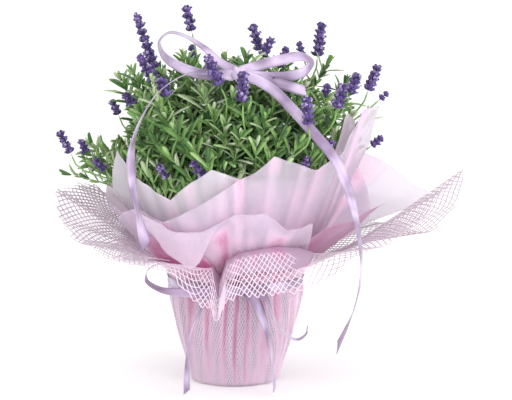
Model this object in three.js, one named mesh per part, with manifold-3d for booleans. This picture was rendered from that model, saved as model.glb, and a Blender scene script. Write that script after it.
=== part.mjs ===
// A potted lavender wrapped as a gift: a nursery pot of soil, leafy stems with flower heads,
// two squares of fleece and one of net gathered round the pot, a ribbon tied round them,
// and a second ribbon tied in a bow at the top of the bush.
// Millimetres, +Z up. The origin is the middle of the foot, and -Y is the front.

import * as THREE from "three";
import { mergeVertices } from "three/addons/utils/BufferGeometryUtils.js";
import Module from "manifold-3d";

const wasm = await Module();
wasm.setup();

const DEGREE = Math.PI / 180;
const FULL_TURN = 2 * Math.PI;
const GOLDEN_ANGLE = Math.PI * (3 - Math.sqrt(5));

// Pot and soil
const POT_HEIGHT = 109;
const POT_TOP_RADIUS = 61;
const POT_FOOT_RADIUS = 41;
const POT_WALL = 1.2;
const POT_LIP = 1.6;
const POT_LIP_HEIGHT = 8;
const POT_SIDES = 24;
const DRAIN_RADIUS = 4;
const DRAIN_RING_RADIUS = 26;
const DRAIN_HOLES = 5;
const SOIL_TOP = 98;
const SOIL_LUMP = 2.5;

// Wrap
const SHEET_THICKNESS = 0.6;
const SHEET_PITCH = 1.0;
const CLEARANCE = 0.35;
const SHEET_SIDES = 40;
const NECK_HEIGHT = 112;
const TIE_HEIGHT = 101;
const PLEAT_DEPTH = 4.2;
const PLEATS = 10;
const BEND_LENGTH = 110;
const LEAST_STEP_ANGLE = 4 * DEGREE;
const MARCH_STEP = 2;
const RIM_CLEARANCE = 14;

// Ribbon
const RIBBON_WIDTH = 11;
const RIBBON_THICKNESS = 0.6;
const STRIP_STEPS = 1.25;

// Bush
const APEX_HEIGHT = -5;
const UNIT_HEIGHT = 300;
const STEM_SINK = 16;
const STEM_RADIUS = 2;
const SHOOT_RADIUS = 1.1;
const STALK_RADIUS = 0.9;
const LEAF_HALF_WIDTH = 2.2;
const LEAF_LENGTH = 32;
const LEAF_PAIR_DROPS = [34, 23, 13, 4];
const LEAF_ROOT_HEIGHT = 0.8;
const BUSH = { centreX: -12, centreHeight: 178, across: 143, deep: 114, high: 141, power: 2.8 };
const SHOOTS = 50;
const LOWEST_SHOOT = 96 * DEGREE;
const CORE_DEPTH = 0.66;
const CORE_TOP_SHARE = 0.78;
const CORE_SIDES = 6;
const CORE_RINGS = 4;
const RING_RADII = [0, 62, 132];
const RING_COUNTS = [1, 5, 10];

// Flower heads: name, base, tip. The first ones are those that the front shows.
const HEADS = [
  { base: [-76, -10, 302], tip: [-97, -10, 366], whorls: 8, radius: 5.5 },
  { base: [-43, 20, 346], tip: [-49, 20, 373], whorls: 4, radius: 6.5 },
  { base: [-75, -50, 298], tip: [-91, -50, 324], whorls: 5, radius: 6 },
  { base: [-62, -78, 284], tip: [-68, -76, 302], whorls: 3, radius: 7 },
  { base: [-96, -20, 273], tip: [-107, -20, 286], whorls: 3, radius: 6 },
  { base: [-115, 0, 264], tip: [-122, 0, 279], whorls: 3, radius: 5 },
  { base: [-160, -20, 227], tip: [-172, -20, 250], whorls: 4, radius: 5.5 },
  { base: [-149, 10, 225], tip: [-154, 10, 239], whorls: 3, radius: 5 },
  { base: [-126, -24, 211], tip: [-137, -26, 223], whorls: 3, radius: 5 },
  { base: [-62, -80, 208], tip: [-70, -84, 222], whorls: 3, radius: 5 },
  { base: [-27, -92, 209], tip: [-38, -96, 227], whorls: 3, radius: 5.5 },
  { base: [-12, -90, 295], tip: [-24, -90, 323], whorls: 5, radius: 7 },
  { base: [9, -101, 280], tip: [9, -101, 308], whorls: 5, radius: 7 },
  { base: [26, 15, 327], tip: [17, 15, 354], whorls: 4, radius: 6.5 },
  { base: [27, -9, 321], tip: [36, -9, 340], whorls: 4, radius: 6 },
  { base: [68, 25, 322], tip: [64, 25, 337], whorls: 3, radius: 4.5 },
  { base: [82, 15, 321], tip: [87, 15, 356], whorls: 6, radius: 6.5 },
  { base: [69, -103, 259], tip: [67, -103, 286], whorls: 5, radius: 6.5 },
  { base: [87, -38, 282], tip: [90, -38, 296], whorls: 3, radius: 5 },
  { base: [97, -70, 273], tip: [103, -70, 296], whorls: 5, radius: 6.5 },
  { base: [112, -30, 286], tip: [119, -30, 305], whorls: 4, radius: 6.5 },
  { base: [131, -5, 288], tip: [141, -5, 313], whorls: 5, radius: 6.5 },
  { base: [144, 14, 279], tip: [153, 14, 287], whorls: 2, radius: 4.5 },
  { base: [138, 40, 231], tip: [150, 42, 240], whorls: 3, radius: 5 },
  { base: [85, -84, 235], tip: [93, -90, 245], whorls: 2, radius: 5 },
  { base: [65, -73, 215], tip: [70, -76, 229], whorls: 3, radius: 5 },
];
const BACK_HEADS = 5;
const HEAD_CORNERS = 6;

// Spokes of each sheet's collar: azimuth, then the cloth's elevation at the neck and at the
// edge in degrees, and the length of cloth between them.
const SHEETS = [
  {
    name: "net_wrap",
    colour: 0xdba9c6,
    spokes: [
      [15, 30, 18, 150],
      [30, 32, 12, 118],
      [45, 36, 12, 110],
      [67.5, 34, 0, 125],
      [85, 34, -10, 150],
      [105, 32, 0, 120],
      [135, 36, 18, 95],
      [165, 42, 34, 112],
      [189, 42, 32, 137],
      [203, 36, 18, 122],
      [224, 30, 8, 96],
      [238, 30, 6, 80],
      [247.5, 42, 10, 68],
      [255, 36, -4, 68],
      [261, 8, -66, 94],
      [270, 34, -18, 82],
      [280, 28, -32, 100],
      [293, 27, -33, 106],
      [304, 27, -16, 98],
      [316, 29, 18, 92],
      [332, 29, 28, 124],
      [344, 27, 34, 160],
      [351, 28, 37, 190],
    ],
  },
  {
    name: "fleece_outer",
    colour: 0xeec3d8,
    spokes: [
      [10, 52, 58, 130],
      [21, 37, 23, 104],
      [42, 44, 40, 96],
      [75, 58, 56, 125],
      [108, 46, 40, 92],
      [135, 52, 44, 96],
      [165, 54, 52, 126],
      [185, 50, 50, 104],
      [200, 52, 50, 98],
      [219, 58, 62, 76],
      [234, 62, 68, 82],
      [252, 64, 68, 106],
      [261, 66, 68, 117],
      [275, 60, 50, 102],
      [286, 53, 20, 103],
      [297, 50, 14, 107],
      [308, 58, 54, 98],
      [322, 62, 64, 130],
      [334, 62, 70, 158],
      [351, 60, 69, 183],
    ],
  },
  {
    name: "fleece_inner",
    colour: 0xe6d3e4,
    spokes: [
      [5, 62, 58, 116],
      [18, 43, 28, 180],
      [36, 54, 48, 115],
      [70, 64, 60, 95],
      [108, 60, 58, 136],
      [155, 62, 58, 90],
      [177, 62, 60, 80],
      [189, 62, 62, 90],
      [198, 63, 67, 130],
      [217, 64, 66, 98],
      [234, 67, 68, 84],
      [250, 69, 70, 76],
      [264, 70, 71, 90],
      [278, 70, 71, 110],
      [288, 69, 72, 128],
      [310, 66, 64, 119],
      [326, 67, 68, 112],
      [346, 68, 70, 106],
    ],
  },
];

// A repeatable random draw between 0 and 1.
function seeded(seed) {
  let state = seed;
  return () => {
    state = (state + 0x6d2b79f5) | 0;
    let t = Math.imul(state ^ (state >>> 15), 1 | state);
    t = (t + Math.imul(t ^ (t >>> 7), 61 | t)) ^ t;
    return ((t ^ (t >>> 14)) >>> 0) / 4294967296;
  };
}

function mix(a, b, share) {
  return a + (b - a) * share;
}

function smoothStep(share) {
  const t = Math.min(1, Math.max(0, share));
  return t * t * (3 - 2 * t);
}

// Solids

function solidOf(geometry) {
  const bare = new THREE.BufferGeometry();
  bare.setAttribute("position", geometry.getAttribute("position"));
  if (geometry.index) bare.setIndex(geometry.index);
  const merged = mergeVertices(bare, 1e-3);
  const triVerts = new Uint32Array(merged.index.array);
  const vertProperties = merged.getAttribute("position").array;
  const made = new wasm.Manifold(new wasm.Mesh({ numProp: 3, vertProperties, triVerts }));
  if (made.volume() > 0) return made;
  for (let i = 0; i < triVerts.length; i += 3) {
    [triVerts[i + 1], triVerts[i + 2]] = [triVerts[i + 2], triVerts[i + 1]];
  }
  return new wasm.Manifold(new wasm.Mesh({ numProp: 3, vertProperties, triVerts }));
}

function geometryOf(solid) {
  const mesh = solid.getMesh();
  const geometry = new THREE.BufferGeometry();
  geometry.setAttribute("position", new THREE.BufferAttribute(new Float32Array(mesh.vertProperties), 3));
  geometry.setIndex(new THREE.BufferAttribute(new Uint32Array(mesh.triVerts), 1));
  geometry.computeVertexNormals();
  return geometry;
}

// Moves every vertex of a geometry to where place(vertex, index) says.
function shaped(geometry, place) {
  const position = geometry.getAttribute("position");
  const vertex = new THREE.Vector3();
  for (let i = 0; i < position.count; i += 1) {
    vertex.fromBufferAttribute(position, i);
    const moved = place(vertex, i);
    position.setXYZ(i, moved.x, moved.y, moved.z);
  }
  return geometry;
}

// The largest body of a solid, without the scraps that a union may leave.
function mainBody(solid) {
  const bodies = solid.decompose();
  return bodies.reduce((best, body) => (body.volume() > best.volume() ? body : best));
}

function fused(solids) {
  return mainBody(solids.reduce((whole, solid) => whole.add(solid)));
}

// The level direction square to the way from one point to another.
function sidewaysOf(from, to) {
  const sideways = new THREE.Vector3(0, 0, 1).cross(to.clone().sub(from));
  return sideways.length() > 1e-3 ? sideways.normalize() : new THREE.Vector3(1, 0, 0);
}

// Two directions square to an axis and to each other, the first as near sideways as can be.
function crossAxes(axis, sideways) {
  const side = sideways.clone().addScaledVector(axis, -sideways.dot(axis)).normalize();
  const up = new THREE.Vector3().crossVectors(axis, side).normalize();
  return { side, up };
}

// A tapering stem through points, as a cylinder whose rings are moved onto a curve.
function stemSolid(points, startRadius, endRadius, rings, sides = 4) {
  const curve = new THREE.CatmullRomCurve3(points);
  const sideways = sidewaysOf(points[0], points.at(-1));
  const geometry = new THREE.CylinderGeometry(1, 1, 1, sides, rings);
  return solidOf(
    shaped(geometry, (vertex) => {
      const share = vertex.y + 0.5;
      const centre = curve.getPoint(share);
      const { side, up } = crossAxes(curve.getTangent(share), sideways);
      const radius = mix(startRadius, endRadius, share);
      return centre.addScaledVector(side, vertex.x * radius).addScaledVector(up, vertex.z * radius);
    }),
  );
}

// Wrap

// The two spokes that an azimuth lies between, and how far it is from the first to the second.
function spokesAt(layer, azimuth) {
  const turn = ((azimuth / DEGREE) % 360 + 360) % 360;
  const { spokes } = SHEETS[layer];
  const after = Math.max(0, spokes.findIndex((spoke) => spoke[0] > turn));
  const low = spokes[(after + spokes.length - 1) % spokes.length];
  const high = spokes[after];
  const span = (high[0] - low[0] + 360) % 360;
  return { low, high, share: ((turn - low[0] + 360) % 360) / span };
}

// An inner sheet stands up at least a little more than the one that it lies in.
function elevation(layer, azimuth, reach) {
  const { low, high, share } = spokesAt(layer, azimuth);
  const bend = smoothStep(reach / BEND_LENGTH);
  const eased = smoothStep(share);
  const own = DEGREE * mix(mix(low[1], high[1], eased), mix(low[2], high[2], eased), bend);
  if (layer === 0) return own;
  return Math.max(own, elevation(layer - 1, azimuth, reach) + LEAST_STEP_ANGLE);
}

function collarLength(layer, azimuth) {
  const { low, high, share } = spokesAt(layer, azimuth);
  return mix(low[3], high[3], share);
}

function potRadius(height) {
  return mix(POT_FOOT_RADIUS, POT_TOP_RADIUS, height / POT_HEIGHT);
}

// How far the gathers stand out from the pot: none at the foot, pulled in under the tie.
function gather(azimuth, height) {
  const rise = smoothStep((height - 12) / 70);
  const pulledIn = 1 - 0.75 * Math.exp(-(((height - TIE_HEIGHT) / 7) ** 2));
  const ripple = 0.5 + 0.3 * Math.cos(PLEATS * azimuth) + 0.2 * Math.cos(5 * azimuth + 1.3);
  return PLEAT_DEPTH * rise * pulledIn * ripple;
}

// Distance of a layer from the pot's wall and floor: the net is layer 0 and outermost.
function layerOffset(layer) {
  return CLEARANCE + SHEET_THICKNESS / 2 + (2 - layer) * SHEET_PITCH;
}

function wallPoint(layer, azimuth, height) {
  const radius = potRadius(height) + POT_LIP + layerOffset(layer) + gather(azimuth, height);
  return { radius, height };
}

// Points up a collar from its neck, a small step apart.
function marchCollar(layer, azimuth, length) {
  const start = wallPoint(layer, azimuth, NECK_HEIGHT);
  const points = [{ reach: 0, radius: start.radius, height: NECK_HEIGHT + layer * SHEET_PITCH }];
  while (points.at(-1).reach < length) {
    const last = points.at(-1);
    const step = Math.min(MARCH_STEP, length - last.reach);
    const slope = elevation(layer, azimuth, last.reach + step / 2);
    points.push({
      reach: last.reach + step,
      radius: last.radius + step * Math.cos(slope),
      height: last.height + step * Math.sin(slope),
    });
    if (step < 1e-6) break;
  }
  return points;
}

const WALL_HEIGHTS = [1, 76, TIE_HEIGHT, 108];
const COLLAR_SHARES = [0, 0.24, 0.58, 1];

const NECK_ROW = WALL_HEIGHTS.length + 2;

// The middle of a sheet's cloth, as rows of points from the centre of its foot to its edge.
function clothLine(layer, azimuth) {
  const floor = SHEET_THICKNESS / 2 + layer * SHEET_PITCH;
  const foot = wallPoint(layer, azimuth, 0).radius - POT_LIP;
  const line = [
    { radius: 0, height: floor },
    { radius: foot - 1.5, height: floor },
  ];
  for (const height of WALL_HEIGHTS) {
    const point = wallPoint(layer, azimuth, height);
    const easeIn = POT_LIP * (1 - smoothStep(height / 60));
    line.push({ radius: point.radius - easeIn, height: Math.max(height, floor + 1.5) });
  }
  const length = collarLength(layer, azimuth);
  const march = marchCollar(layer, azimuth, length);
  for (const share of COLLAR_SHARES) {
    const at = share * (march.length - 1);
    const low = march[Math.floor(at)];
    const high = march[Math.min(march.length - 1, Math.floor(at) + 1)];
    const part = at - Math.floor(at);
    line.push({ radius: mix(low.radius, high.radius, part), height: mix(low.height, high.height, part) });
  }
  return line;
}

const CLOTH_LINES = SHEETS.map((_, layer) =>
  Array.from({ length: SHEET_SIDES }, (_, i) => clothLine(layer, (i * FULL_TURN) / SHEET_SIDES)),
);

function clothPoint(layer, side, row) {
  const wrapped = (side + SHEET_SIDES) % SHEET_SIDES;
  const azimuth = (wrapped * FULL_TURN) / SHEET_SIDES;
  const { radius, height } = CLOTH_LINES[layer][wrapped][row];
  return new THREE.Vector3(radius * Math.cos(azimuth), radius * Math.sin(azimuth), height);
}

// The way out of the cloth, away from the pot and under the collar.
function clothNormal(layer, side, row, rows) {
  if (row === 0) return new THREE.Vector3(0, 0, -1);
  const across = clothPoint(layer, side + 1, row).sub(clothPoint(layer, side - 1, row));
  const along = clothPoint(layer, side, Math.min(row + 1, rows - 1)).sub(clothPoint(layer, side, row - 1));
  return across.cross(along).normalize();
}

// Splits the quads of a sheet's two faces along the same diagonal, so that sheets can nest.
function matchDiagonals(geometry, onProfile, rows) {
  const corners = geometry.index.array;
  for (let i = 0; i < corners.length; i += 6) {
    const [a, b, d, c] = corners.slice(i, i + 4);
    if (a % onProfile >= rows) corners.set([a, b, c, a, c, d], i);
  }
}

function sheetSolid(layer) {
  const rows = CLOTH_LINES[layer][0].length;
  const profile = [];
  for (let row = 0; row < rows; row += 1) profile.push(new THREE.Vector2(row, 0));
  for (let row = rows - 1; row >= 0; row -= 1) profile.push(new THREE.Vector2(row, 1));
  const geometry = new THREE.LatheGeometry(profile, SHEET_SIDES);
  matchDiagonals(geometry, profile.length, rows);
  return solidOf(
    shaped(geometry, (_, index) => {
      const onProfile = index % profile.length;
      const side = Math.floor(index / profile.length) % SHEET_SIDES;
      const outer = onProfile < rows;
      const row = outer ? onProfile : profile.length - 1 - onProfile;
      const around = row === 0 ? 0 : side;
      const offset = (outer ? 1 : -1) * (SHEET_THICKNESS / 2);
      return clothPoint(layer, around, row).addScaledVector(clothNormal(layer, around, row, rows), offset);
    }),
  );
}

// The room inside the collars at an azimuth and height: what stands inside keeps within it.
function roomRadius(azimuth, height) {
  let room = Infinity;
  for (let layer = 0; layer < SHEETS.length; layer += 1) {
    for (const swing of [-1, 0, 1]) {
      const side = Math.round((azimuth / FULL_TURN) * SHEET_SIDES) + swing;
      const line = CLOTH_LINES[layer][((side % SHEET_SIDES) + SHEET_SIDES) % SHEET_SIDES];
      for (let row = NECK_ROW; row < line.length; row += 1) {
        const [low, high] = [line[row - 1], line[row]];
        if (height >= low.height - 4 && height <= high.height + RIM_CLEARANCE) {
          const share = Math.min(1, Math.max(0, (height - low.height) / (high.height - low.height || 1)));
          room = Math.min(room, mix(low.radius, high.radius, share));
        }
      }
    }
  }
  return room;
}

// Pot and soil

function revolved(profile, sides) {
  const geometry = new THREE.LatheGeometry(
    profile.map(([radius, height]) => new THREE.Vector2(radius, height)),
    sides,
  );
  geometry.rotateX(Math.PI / 2);
  return solidOf(geometry);
}

function potSolid() {
  const floor = SHEET_THICKNESS + 2 * SHEET_PITCH + CLEARANCE;
  const lipFoot = POT_HEIGHT - POT_LIP_HEIGHT;
  const profile = [
    [0, floor],
    [POT_FOOT_RADIUS - 3, floor],
    [POT_FOOT_RADIUS, floor + 4],
    [potRadius(lipFoot), lipFoot],
    [potRadius(lipFoot) + POT_LIP, lipFoot],
    [POT_TOP_RADIUS + POT_LIP - 0.2, POT_HEIGHT],
    [POT_TOP_RADIUS - POT_WALL, POT_HEIGHT],
    [POT_FOOT_RADIUS - POT_WALL, floor + POT_WALL],
    [0, floor + POT_WALL],
  ];
  let pot = revolved(profile, POT_SIDES);
  for (let i = 0; i < DRAIN_HOLES; i += 1) {
    const angle = (i * FULL_TURN) / DRAIN_HOLES;
    const drill = new THREE.CylinderGeometry(DRAIN_RADIUS, DRAIN_RADIUS, 4 * POT_WALL, 8);
    drill.rotateX(Math.PI / 2);
    drill.translate(DRAIN_RING_RADIUS * Math.cos(angle), DRAIN_RING_RADIUS * Math.sin(angle), floor + POT_WALL / 2);
    pot = pot.subtract(solidOf(drill));
  }
  return pot;
}

function soilSolid(roots) {
  const floor = SHEET_THICKNESS + 2 * SHEET_PITCH + 2 * CLEARANCE + POT_WALL;
  const inner = (height) => potRadius(height) - POT_WALL - 2 * CLEARANCE;
  const profile = [
    [0, floor],
    [POT_FOOT_RADIUS - POT_WALL - 2 * CLEARANCE, floor],
    [inner(SOIL_TOP - 3), SOIL_TOP - 3],
    [inner(SOIL_TOP) * 0.72, SOIL_TOP],
    [inner(SOIL_TOP) * 0.36, SOIL_TOP],
    [0, SOIL_TOP],
  ];
  const lathe = new THREE.LatheGeometry(profile.map(([r, z]) => new THREE.Vector2(r, z)), 24);
  lathe.rotateX(Math.PI / 2);
  const draw = seeded(5);
  const lumps = Array.from({ length: 24 }, () => draw());
  shaped(lathe, (vertex, index) => {
    if (vertex.z < SOIL_TOP - 0.5) return vertex;
    const side = Math.floor(index / profile.length) % 24;
    const onAxis = Math.hypot(vertex.x, vertex.y) < 1;
    vertex.z += onAxis ? 0 : SOIL_LUMP * (lumps[(side + (index % 2) * 7) % 24] - 0.7);
    return vertex;
  });
  let soil = solidOf(lathe);
  for (const root of roots) {
    const hole = new THREE.CylinderGeometry(STEM_RADIUS + 0.5, STEM_RADIUS + 0.5, STEM_SINK + 12, 6);
    hole.rotateX(Math.PI / 2);
    hole.translate(root.x, root.y, SOIL_TOP - STEM_SINK - CLEARANCE + (STEM_SINK + 12) / 2);
    soil = soil.subtract(solidOf(hole));
  }
  return soil;
}

// Bush
// Each leafy stem has a cell of the bush to itself: a cone with its point under the pot.
// A place in the bush is the plan that it would have at the height UNIT_HEIGHT.

function spreadAt(height) {
  return (height - APEX_HEIGHT) / (UNIT_HEIGHT - APEX_HEIGHT);
}

const CELLS = RING_COUNTS.flatMap((count, ring) =>
  Array.from({ length: count }, (_, i) => {
    const angle = (i * FULL_TURN) / count + ring * 0.35;
    return new THREE.Vector2(RING_RADII[ring] * Math.cos(angle), RING_RADII[ring] * Math.sin(angle));
  }),
);

function planOf(point) {
  const spread = spreadAt(point.z);
  return new THREE.Vector2(point.x / spread, point.y / spread);
}

function nearestCell(point) {
  const plan = planOf(point);
  return CELLS.reduce((best, cell, i) => (cell.distanceTo(plan) < CELLS[best].distanceTo(plan) ? i : best), 0);
}

// Bends a point clear of the neighbouring cells.
function keptInCell(point, cell, margin) {
  const kept = point.clone();
  for (let pass = 0; pass < 3; pass += 1) {
    for (let other = 0; other < CELLS.length; other += 1) {
      if (other !== cell) {
        const toOther = CELLS[other].clone().sub(CELLS[cell]);
        const middle = CELLS[other].clone().add(CELLS[cell]).multiplyScalar(0.5);
        const way = toOther.normalize();
        const gap = middle.sub(planOf(kept)).dot(way) * spreadAt(kept.z);
        if (gap < margin) {
          kept.x -= way.x * (margin - gap);
          kept.y -= way.y * (margin - gap);
        }
      }
    }
  }
  return kept;
}

// Draws a point in from the collars round it.
function keptInRoom(point, margin) {
  const radius = Math.hypot(point.x, point.y);
  const inPot = point.z < POT_HEIGHT + 4 ? potRadius(point.z) - POT_WALL : Infinity;
  const room = Math.min(roomRadius(Math.atan2(point.y, point.x), point.z), inPot) - margin;
  if (radius <= room) return point.clone();
  const share = room / radius;
  return new THREE.Vector3(point.x * share, point.y * share, point.z);
}

function kept(point, cell, margin) {
  return keptInRoom(keptInCell(point, cell, margin), margin + 1.5);
}

const BUSH_CENTRE = new THREE.Vector3(BUSH.centreX, 0, BUSH.centreHeight);

// 1 on the bush's outside, less inside it.
function bushDepth(point) {
  const { centreX, centreHeight, across, deep, high, power } = BUSH;
  const sum =
    Math.abs((point.x - centreX) / across) ** power +
    Math.abs(point.y / deep) ** power +
    Math.abs((point.z - centreHeight) / high) ** power;
  return sum ** (1 / power);
}

function bushSurface(polar, azimuth) {
  const way = new THREE.Vector3(
    Math.sin(polar) * Math.cos(azimuth),
    Math.sin(polar) * Math.sin(azimuth),
    Math.cos(polar),
  );
  const far = BUSH_CENTRE.clone().addScaledVector(way, 100);
  return BUSH_CENTRE.clone().addScaledVector(way, 100 / bushDepth(far));
}

// A path inside a cell from its root to a point, leaning outwards as it climbs.
function cellPath(cell, from, to, steps, margin, lean = 1.15) {
  const [start, end] = [planOf(from), planOf(to)];
  const path = [from.clone()];
  for (let i = 1; i < steps; i += 1) {
    const share = i / steps;
    const height = mix(from.z, to.z, share);
    const plan = start.clone().lerp(end, share ** lean).multiplyScalar(spreadAt(height));
    path.push(kept(new THREE.Vector3(plan.x, plan.y, height), cell, margin));
  }
  path.push(kept(to, cell, margin));
  return path;
}

// How far a level line from a point stays inside the cell, the collars and the bush's core.
function coreReach(centre, angle, cell) {
  let reach = 0;
  const step = 1.5;
  while (reach < 200) {
    const radius = reach + step;
    const point = new THREE.Vector3(
      centre.x + radius * Math.cos(angle),
      centre.y + radius * Math.sin(angle),
      centre.z,
    );
    if (bushDepth(point) > CORE_DEPTH || kept(point, cell, 4).distanceTo(point) > 0.01) return Math.max(reach, 1);
    reach = radius;
  }
  return reach;
}

// The dense middle of a leafy stem, as a sphere's rings moved out to the room that there is.
function coreSolid(cell, foot, top) {
  const geometry = new THREE.SphereGeometry(1, CORE_SIDES, CORE_RINGS);
  return solidOf(
    shaped(geometry, (vertex) => {
      const share = (vertex.y + 1) / 2;
      const centre = foot.clone().lerp(top, share);
      const flat = Math.hypot(vertex.x, vertex.z);
      if (flat < 1e-6) return centre;
      const angle = Math.atan2(vertex.z, vertex.x);
      const reach = coreReach(centre, angle, cell);
      return centre.add(new THREE.Vector3(reach * Math.cos(angle), reach * Math.sin(angle), 0));
    }),
  );
}

function distanceToPath(point, path) {
  let nearest = Infinity;
  const closest = new THREE.Vector3();
  for (let i = 1; i < path.length; i += 1) {
    new THREE.Line3(path[i - 1], path[i]).closestPointToPoint(point, true, closest);
    nearest = Math.min(nearest, closest.distanceTo(point));
  }
  return nearest;
}

// Ribbons are listed as points along the middle, each with the way that the width lies.
const BOW_KNOT = new THREE.Vector3(5, -70, 307);
const BOW_STRIPS = [
  {
    // left loop
    points: [
      [2, -70, 309, 0, 0.3, 1],
      [-12, -70, 317, 0.3, 0.6, 0.8],
      [-28, -67, 331, 0.5, 0.7, 0.5],
      [-46, -63, 342, 0.2, 0.9, 0.5],
      [-61, -61, 345, 0, 0.9, 0.5],
      [-71, -62, 337, -0.4, 0.9, 0.1],
      [-67, -67, 324, -0.5, 0.5, -0.6],
      [-50, -72, 313, -0.3, 0.2, -1],
      [-27, -76, 306, 0, 0, -1],
      [0, -73, 306, 0, -0.2, -1],
    ],
  },
  {
    // right loop
    points: [
      [6, -71, 309, 0, 0.2, 1],
      [26, -72, 317, -0.3, 0.1, 1],
      [48, -70, 324, -0.2, 0.1, 1],
      [68, -67, 328, 0, 0.5, 0.9],
      [78, -66, 321, 0.6, 0.8, 0.4],
      [68, -70, 310, 0.2, 0.2, -1],
      [48, -74, 304, 0.1, 0, -1],
      [26, -76, 304, 0, 0, -1],
      [6, -73, 306, 0, 0, -1],
    ],
  },
  {
    // left tail
    points: [
      [0, -74, 305, 0, -0.2, 1],
      [-22, -80, 307, 0.1, 0.9, 0.5],
      [-44, -86, 306, 0.3, 1, 0.2],
      [-68, -93, 292, 0.4, 1, 0.2],
      [-85, -99, 270, 0.5, 0.8, 0],
      [-93, -104, 248, 0.8, 0.5, 0],
      [-95, -107, 229, 1, 0.3, 0],
      [-92, -108, 205, 1, 0.2, 0],
      [-87, -109, 181, 1, 0.2, 0],
      [-82, -109, 157, 1, 0.1, 0],
      [-80, -108, 144, 1, 0, 0],
    ],
    cut: 8,
  },
  {
    // right tail
    points: [
      [8, -75, 306, 0, -0.1, 1],
      [24, -80, 303, 0.3, 0, 1],
      [42, -84, 296, 0.6, 0, 0.8],
      [59, -88, 282, 0.8, 0, 0.6],
      [78, -92, 260, 0.8, 0.1, 0.5],
      [97, -98, 236, 0.9, 0.2, 0.4],
      [107, -107, 214, 0.9, 0.3, 0.3],
      [113, -124, 190, 0.7, 0.8, 0.2],
      [116, -136, 166, 0.6, 1, 0],
      [117, -143, 142, 0.4, 1, 0],
      [115, -145, 119, 0.4, 1, 0],
      [110, -145, 97, 0.2, 1, 0],
      [102, -143, 76, -0.1, 1, 0.2],
      [93, -140, 56, -0.3, 1, 0.2],
    ],
    cut: 9,
  },
  {
    // short tail
    points: [
      [8, -74, 304, 0, 0, 1],
      [28, -78, 298, 0.3, -0.2, 1],
      [44, -79, 291, 0.3, -0.1, 1],
      [54, -76, 286, 0.3, 0, 1],
    ],
    cut: 4,
  },
];

const TIE_KNOT_AZIMUTH = 278 * DEGREE;
const TIE_STRIPS = [
  {
    // loop that shows past the pot's left side
    points: [
      [9, -72, 101, 0, 0, 1],
      [-28, -75, 98, 0, 0.4, 1],
      [-54, -72, 97, 0, 0.7, 0.8],
      [-75, -66, 98, 0.2, 1, 0.5],
      [-87, -59, 104, 0.4, 1, 0.2],
      [-84, -53, 111, -0.2, 1, -0.2],
      [-74, -50, 113, -0.3, 1, -0.3],
      [-67, -52, 109, -0.4, 0.8, -0.5],
    ],
    cut: 0,
  },
  {
    // left tail
    points: [
      [8, -73, 101, 0.3, 0, 1],
      [-14, -78, 99, 0.6, 0, 0.8],
      [-27, -80, 89, 0.8, 0.6, 0.4],
      [-35, -80, 71, 0.6, 0.9, 0.2],
      [-40, -78, 47, 0.5, 1, 0],
      [-43, -77, 20, 0.6, 1, 0],
      [-44, -80, 4, 0.8, 0.8, 0],
    ],
    cut: 4,
  },
  {
    // middle tail
    points: [
      [12, -73, 101, 0.5, 0, 1],
      [19, -80, 93, 0.8, 0.3, 0.5],
      [27, -83, 73, 0.6, 0.9, 0.3],
      [32, -80, 47, 0.4, 1, 0.2],
      [35, -76, 21, 0.3, 1, 0],
      [39, -80, 4, 0.6, 0.8, 0.1],
    ],
    cut: 6,
  },
  {
    // right tail that curls up
    points: [
      [14, -73, 101, 0, 0.2, 1],
      [30, -79, 95, 0.5, 0.7, 0.5],
      [37, -81, 77, 0.4, 1, 0.2],
      [47, -79, 60, 0, 1, 0.2],
      [59, -73, 53, 0, 1, 0],
      [68, -66, 57, 0.3, 1, 0],
      [70, -63, 65, 0.6, 0.9, 0],
    ],
    cut: 4,
  },
];

function stripPath(strip) {
  return strip.points.map(([x, y, z]) => new THREE.Vector3(x, y, z));
}

// Splits a flat box's back quads along the same diagonals as its front quads, so that a twist can't cross them.
function turnBackDiagonals(geometry) {
  const corners = geometry.index.array;
  const back = geometry.groups[5];
  for (let i = back.start; i < back.start + back.count; i += 6) {
    const [a, b, d, , c] = corners.slice(i, i + 5);
    corners.set([a, b, c, a, c, d], i);
  }
}

// A ribbon strip: a flat box moved onto its curve, with a slanted cut at its end.
function stripSolid(strip) {
  const curve = new THREE.CatmullRomCurve3(stripPath(strip), false, "centripetal");
  const widths = strip.points.map(([, , , x, y, z]) => new THREE.Vector3(x, y, z).normalize());
  const steps = Math.round((strip.points.length - 1) * STRIP_STEPS);
  const geometry = new THREE.BoxGeometry(1, 1, 1, steps, 1, 1);
  turnBackDiagonals(geometry);
  return solidOf(
    shaped(geometry, (vertex) => {
      const share = vertex.x + 0.5;
      const tangent = curve.getTangent(share);
      const at = share * (widths.length - 1);
      const low = Math.min(widths.length - 2, Math.floor(at));
      const width = widths[low].clone().lerp(widths[low + 1], at - low);
      width.addScaledVector(tangent, -width.dot(tangent)).normalize();
      const face = new THREE.Vector3().crossVectors(tangent, width).normalize();
      const slant = share > 0.999 && vertex.y > 0 ? -(strip.cut ?? 0) : 0;
      return curve
        .getPoint(share)
        .addScaledVector(width, vertex.y * RIBBON_WIDTH)
        .addScaledVector(face, vertex.z * RIBBON_THICKNESS)
        .addScaledVector(tangent, slant);
    }),
  );
}

function lumpSolid(centre, radii) {
  const geometry = new THREE.SphereGeometry(1, 8, 5);
  return solidOf(
    shaped(geometry, (vertex) =>
      new THREE.Vector3(vertex.x * radii[0], vertex.z * radii[1], vertex.y * radii[2]).add(centre),
    ),
  );
}

// The bow's knot is tied round the shoot that holds it up.
const HOLDING_SHOOT = new THREE.Vector3(BOW_KNOT.x, BOW_KNOT.y + 5, BOW_KNOT.z);
const HOLDING_RADIUS = 1.2;

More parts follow.
